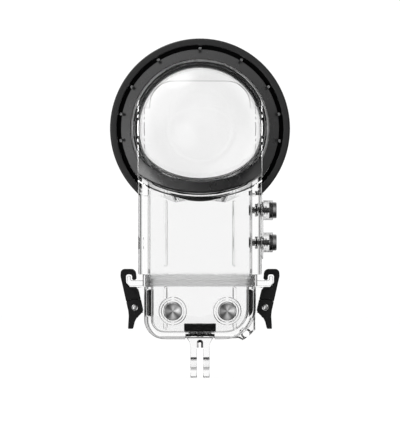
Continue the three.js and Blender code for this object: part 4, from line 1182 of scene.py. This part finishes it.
def tipPiece(button):
    low, high, radius = press["tipLow"], press["tipHigh"], press["tipRadius"]
    corners = [(0, low), (radius, low), (radius, high), (1.6, high), (1.6, high - 0.9), (0, high - 0.9)]
    loop = rounded(corners, [0.01, 0.35, 0.25, 0.05, 0.05, 0.01], 5)
    loop[:, 0] = np.where(loop[:, 0] < 0.02, 0, loop[:, 0])
    loop = np.vstack([[(0, low)], loop[loop[:, 0] > 0], [(0, high - 0.9)]])
    return soften(turned("tip", loop, button["floor"], button["out"], 64), 35)


# A lip seal: two soft swellings against the shaft and a groove outside.
def buttonSealPiece(button):
    low, high, inner, outer = press["sealLow"], press["sealHigh"], press["sealInner"], press["sealOuter"]
    middle = (low + high) / 2
    groove, lips = press["sealGroove"], press["sealLips"]
    corners = [(inner, low), (outer, low), (outer, middle - groove), (outer - groove, middle)]
    corners += [(outer, middle + groove), (outer, high), (inner, high), (inner + lips, middle)]
    radii = [0.25, 0.3, 0.15, 0.2, 0.15, 0.3, 0.25, 0.3]
    return soften(turnedRing("seal", corners, radii, 6, button["floor"], button["out"], 64), 50)


# Arrows of length one.
def unit(arrows):
    return arrows / np.linalg.norm(arrows, axis=1, keepdims=True)


# A spring: a wire circle carried along a helix whose ends run straight for one wire's width.
def springPiece(button):
    low, high, wire, radius = press["springLow"], press["springHigh"], press["wire"], press["springRadius"]
    share = np.linspace(0, 1, press["curls"] * press["curlSteps"] + 1)
    angle = share * press["curls"] * 2 * pi
    rise = low + wire + share * (high - low - 2 * wire)
    path = np.stack([radius * np.cos(angle), radius * np.sin(angle), rise], axis=1)
    path = np.vstack([[(radius, 0, low)], path, [(radius, 0, high)]])
    ahead = np.gradient(path, axis=0)
    ahead[[0, -1]] = (0, 0, 1)
    ahead = unit(ahead)
    across = unit(path * (1, 1, 0))
    across = unit(across - ahead * (across * ahead).sum(axis=1, keepdims=True))
    beside = np.cross(ahead, across)
    sides = press["wireSides"]
    turn = np.linspace(0, 2 * pi, sides, endpoint=False)
    rim = np.cos(turn)[None, :, None] * across[:, None] + np.sin(turn)[None, :, None] * beside[:, None]
    points = (path[:, None] + rim * wire / 2).reshape(-1, 3)
    points = points[:, [2, 0, 1]] if button["axis"] == "x" else points[:, [0, 2, 1]] * (1, -1, 1)
    caps = [list(range(sides)), list(range(len(points) - sides, len(points)))]
    faces = gridFaces(len(path), sides) + caps
    return soften(closedPiece("spring", points + np.asarray(button["floor"]), faces), 50)


for name, button in buttons.items():
    node = name.replace("-", "_")
    steel = turnedSteel(name + "-steel", button["floor"], button["axis"])
    dress(capPiece(button), name + "-cap", node, "turned_steel", steel, node + "_cap")
    dress(tipPiece(button), name + "-tip", node, "black_matte", matteBlack, node + "_tip")
    dress(buttonSealPiece(button), name + "-seal", "housing", "rubber", sealRubber, node + "_seal")
    dress(springPiece(button), name + "-spring", "housing", "turned_steel", wireSteel, node + "_spring")
print("buttons made")

# Latches, drawn by distance from the middle and height; the left ones are mirrored

latch = {
    "halfWidth": 9.5,
    "pivot": (cup["pivotX"], cup["pivotZ"]),
    "link": (31.15, 23.1),
    "split": 7.6,
    "crown": 7.35,
    "sweep": 4.5,
    "armInner": 2.9,
    "armOuter": 5.2,
    "eye": 1.85,
    "eyeHole": 1.1,
    "cheekInner": 5.5,
    "pinRadius": 1.2,
    "earRoom": 6.4,
    "faceStep": 0.5,
    "edge": 0.25,
    "stub": 0.8,
    "stubInner": 3.2,
    "overlap": 0.7,
    "pinProud": 0.15,
    "pinDome": 0.35,
}
hookLine = [(31.1, 39.7), (32.1, 39.7), (32.6, 40.2), (32.6, 42.4), (35.8, 42.4), (35.6, 38.2)]
hookLine += [(33.8, 36.2), (30.6, 36.2), (29.6, 34.6), (27.8, 26.9), (31.15, 26.9), (34.89, 26.9)]
hookLine += [(37.12, 36.8), (38.2, 41.6), (38.0, 44.9), (31.0, 44.9), (30.6, 40.2)]
hookRound = [0.3, 0.3, 0.3, 1.1, 1.4, 1.2, 0.8, 1.0, 1.6, 0, 0, 0, 4, 3, 2.8, 2.4, 0.4]
hookFace = [(28, 31.3), (39.5, 40.8), (39.5, 47), (28, 47)]
earRoomLine = [(26.7, 39.55), (35.4, 39.55), (35.4, 32.8), (34.2, 27.7), (26.7, 27.7)]
tipRoomLine = [(26.7, 39.5), (26.7, 42.6), (30.3, 42.6), (30.3, 39.5)]
armLine = [(32.08, 24.03), (32.85, 24.03), (34.5, 26.5), (35.51, 31.0), (35.46, 34.0), (33.45, 31.0)]
armLine += [(33.15, 26.5)]
leverLine = [(29.19, 33.5), (27.4, 25.1), (27.6, 24.3), (28.5, 23.3), (30.4, 21.5), (31.5, 19.3)]
leverLine += [(32.2, 16.3), (34.55, 16.3), (34.45, 18.4), (34.2, 22.4), (34.45, 24.9), (36.36, 33.5)]
leverRound = [0, 0.6, 0.6, 1.2, 3, 2, 0.4, 0.4, 3, 2, 2, 0]


def across(name, line, inner, outer, edge=0.0):
    return join(*twoSided(pushed, name, line, inner, outer, "y", edge))


def roundAt(point, radius, low, high, steps=64):
    return rod("round", radius, (point[0], 0, point[1]), (0, 1, 0), low, high, steps)


def hookPiece():
    half, step, link = latch["halfWidth"], latch["faceStep"], latch["link"]
    piece = pushed("hook", rounded(hookLine, hookRound, 8), -half, half, "y", latch["edge"])
    cut(piece, roundAt(link, latch["split"], -half - 3, half + 3, 120))
    cut(piece, across("step", hookFace, half - step, half + 2))
    room = latch["earRoom"]
    cut(piece, pushed("room", earRoomLine, -room, room, "y"), pushed("slot", tipRoomLine, -room, room, "y"))
    inner, outer = latch["armInner"], latch["armOuter"]
    arms = across("arms", rounded(armLine, 0.25, 4), inner, outer, 0.1)
    join(piece, arms, *[roundAt(link, latch["eye"], *span, 56) for span in spans(inner, outer)])
    cut(piece, roundAt(link, latch["eyeHole"], -half - 2, half + 2, 48))
    return soften(piece, 30)


def leverPiece():
    half, inner, edge = latch["halfWidth"], latch["cheekInner"], latch["edge"]
    link, reach, over = latch["link"], latch["crown"], latch["cheekInner"] + latch["overlap"]
    line = rounded(leverLine, leverRound, 8)
    cheeks = across("cheeks", line, inner, half, edge)
    crown = np.vstack([[(link[0] + reach, 10)], arc(reach, 0, pi, 61) + link, [(link[0] - reach, 10)]])
    keep(cheeks, across("crown", crown, inner, half, edge))
    bridge = pushed("bridge", line, -over, over, "y")
    keep(bridge, box("below", (20, 40), (-12, 12), (10, link[1] - latch["eye"])))
    cut(bridge, roundAt(link, latch["sweep"], -half, half))
    stubs = [roundAt(link, latch["stub"], *span, 40) for span in spans(latch["stubInner"], over)]
    join(cheeks, bridge, *stubs)
    cut(cheeks, roundAt(latch["pivot"], cup["pivotBore"], -half - 2, half + 2, 48))
    return soften(cheeks, 30)


# The pivot pin: a domed head at each end.
def pinPiece():
    half, radius, high = latch["halfWidth"] + latch["pinProud"], latch["pinRadius"], latch["pinDome"]
    turn = np.linspace(0, pi / 2, 8)
    dome = np.stack([radius * np.cos(turn), half - high + high * np.sin(turn)], axis=1)
    dome[-1, 0] = 0
    profile = np.vstack([dome[::-1] * (1, -1), dome])
    place = (latch["pivot"][0], 0, latch["pivot"][1])
    return soften(turned("pin", profile, place, (0, 1, 0), 56), 45)


for make, name, slot, material in (
    (hookPiece, "latch-hook", "black_matte", matteBlack),
    (leverPiece, "latch-lever", "black_matte", matteBlack),
    (pinPiece, "latch-pin", "turned_steel", wireSteel),
):
    right = make()
    left = twin(right, "mirrored")
    for piece, sideName in ((right, "right"), (left, "left")):
        node = name.replace("-", "_") + "_" + sideName
        body = "housing" if make is pinPiece else node
        dress(piece, name + "-" + sideName, body, slot, material, node)
print("latches made")

# Studio

studio = {
    "floorLevel": -7.6,
    "floorSize": 3000.0,
    "floorTone": 0.86,
    "floorWhite": 1.05,
    "floorGlow": 0.9,
    "light": 0.6,
    "plain": 1.06,
    "mirror": 0.06,
    "behind": 0.6,
    "turnFrom": 0.05,
    "turnTo": 0.6,
    "outsideGlows": 6,
    "lampAim": 75.0,
}
# What reflections see: soft glows, each with its way, its reach in degrees and its strength. The
# first ones, as many as outsideGlows says, aren't seen by rays that have gone into clear plastic.
glows = [
    ((-0.42, -0.88, -0.24), 28, 1.3),
    ((-0.4, -0.9, 0.26), 32, 0.5),
    ((0.05, -0.87, 0.52), 34, 0.6),
    ((0.46, -0.9, -0.1), 28, 0.25),
    ((-0.36, 0.1, 0.93), 19, 1.8),
    ((0.0, 0.08, 1.0), 50, 0.45),
    ((-0.75, 0.2, 0.63), 60, 1.0),
    ((0.75, 0.5, 0.4), 40, 0.5),
]
lamps = {
    "left-softbox": {"place": (-520, -520, 260), "size": (420, 520), "power": 6.0},
    "right-softbox": {"place": (620, -300, 320), "size": (300, 520), "power": 3.0},
    "top-softbox": {"place": (0, -60, 720), "size": (520, 420), "power": 4.0},
}
view = {"distance": 2500.0, "centreX": 200.0, "centreY": 210.5, "headX": 200.0, "headY": 128.5, "scale": 2.08}
view.update({"high": 421, "sensor": 36})


# What a ray has done: its Light Path, whether it has met a mirror or turned back inside clear
# plastic, and whether it looks straight ahead or through clear plastic.
def rayKinds(tree):
    path = added(tree, "LightPath", {}).outputs
    met = reckon(tree, "GREATER_THAN", path["Glossy Depth"], 0.5)
    return path, met, reckon(tree, "MAXIMUM", path["Is Camera Ray"], path["Is Transmission Ray"])


def blend(tree, share, first, second):
    return added(tree, "MixShader", {0: share, 1: first, 2: second}).outputs[0]


def smoothStep(tree, value, low, high, first, last):
    inputs = {"Value": value, "From Min": low, "From Max": high, "To Min": first, "To Max": last}
    return added(tree, "MapRange", inputs, interpolation_type="SMOOTHSTEP").outputs["Result"]


# A pale floor that looks white where it is seen straight or through clear plastic.
def floorPiece():
    half, level = studio["floorSize"] / 2, studio["floorLevel"]
    floor = pushed("floor", rectangle(half, half), level - 5, level, "z")
    made, tree, shader = surface("pale-floor")[:3]
    fill(tree, shader, {"Base Color": grey(studio["floorTone"]), "Roughness": 0.9, "Specular IOR Level": 0.1})
    met, straight = rayKinds(tree)[1:]
    glow = added(tree, "Emission", {"Strength": studio["floorWhite"]}).outputs[0]
    share = reckon(tree, "MULTIPLY", straight, studio["floorGlow"])
    white = blend(tree, share, shader.outputs[0], glow)
    clear = added(tree, "BsdfTransparent", {}).outputs[0]
    fill(tree, tree.nodes["Material Output"], {"Surface": blend(tree, met, white, clear)})
    floor.data.materials.append(made)


# White wherever the camera or clear plastic looks straight through. Reflections see a room that
# is dark in front and pale behind, with soft glows: strength = smooth step of the cosine.
def studioWorld():
    world = bpy.data.worlds.new("studio")
    bpy.context.scene.world = world
    world.use_nodes = True
    tree = world.node_tree
    light = fill(tree, tree.nodes["Background"], {"Color": grey(1), "Strength": studio["light"]})
    way = added(tree, "TexCoord", {}).outputs["Generated"]
    behind = added(tree, "SeparateXYZ", {"Vector": way}).outputs["Y"]
    low, high = studio["mirror"], studio["mirror"] + studio["behind"]
    total = smoothStep(tree, behind, studio["turnFrom"], studio["turnTo"], low, high)
    path, met, straight = rayKinds(tree)
    outside = reckon(tree, "LESS_THAN", path["Transmission Depth"], 0.5)
    for count, (aim, reach, strength) in enumerate(glows):
        inputs = {0: way, 1: np.asarray(aim) / np.linalg.norm(aim)}
        near = added(tree, "VectorMath", inputs, operation="DOT_PRODUCT").outputs["Value"]
        glow = smoothStep(tree, near, cos(radians(reach)), 1, 0, strength)
        seen = outside if count < studio["outsideGlows"] else 1
        total = reckon(tree, "MULTIPLY_ADD", glow, seen, total)
    room = added(tree, "Background", {"Color": grey(1), "Strength": total}).outputs[0]
    plain = added(tree, "Background", {"Color": grey(1), "Strength": studio["plain"]}).outputs[0]
    seen = blend(tree, met, plain, room)
    bent = reckon(tree, "MAXIMUM", straight, path["Is Glossy Ray"])
    fill(tree, tree.nodes["World Output"], {"Surface": blend(tree, bent, light.outputs[0], seen)})


def softbox(name, values):
    light = bpy.data.lights.new(name, "AREA")
    light.shape = "RECTANGLE"
    light.size, light.size_y = (length * millimetre for length in values["size"])
    light.energy = values["power"]
    lamp = bpy.data.objects.new(name, light)
    bpy.context.scene.collection.objects.link(lamp)
    place = np.asarray(values["place"], float)
    lamp.location = place * millimetre
    aim = (np.array([0, 0, studio["lampAim"]]) - place) * millimetre
    lamp.rotation_euler = Vector(aim).to_track_quat("-Z", "Y").to_euler()
    lamp.visible_glossy = lamp.visible_transmission = False


def studioCamera():
    lens = bpy.data.cameras.new("camera")
    camera = bpy.data.objects.new("camera", lens)
    bpy.context.scene.collection.objects.link(camera)
    x = (view["centreX"] - view["headX"]) / view["scale"]
    z = head["rise"] - (view["centreY"] - view["headY"]) / view["scale"]
    front = -head["webHalf"] - ringShape["low"]
    camera.location = np.array([x, front - view["distance"], z]) * millimetre
    camera.rotation_euler = (pi / 2, 0, 0)
    lens.sensor_width = view["sensor"]
    lens.lens = view["sensor"] * view["distance"] / (view["high"] / view["scale"])
    lens.clip_start, lens.clip_end = 0.05, 20
    bpy.context.scene.camera = camera


floorPiece()
studioWorld()
for name, values in lamps.items():
    softbox(name, values)
studioCamera()
bpy.context.scene.view_settings.view_transform = "Standard"
print("studio made")
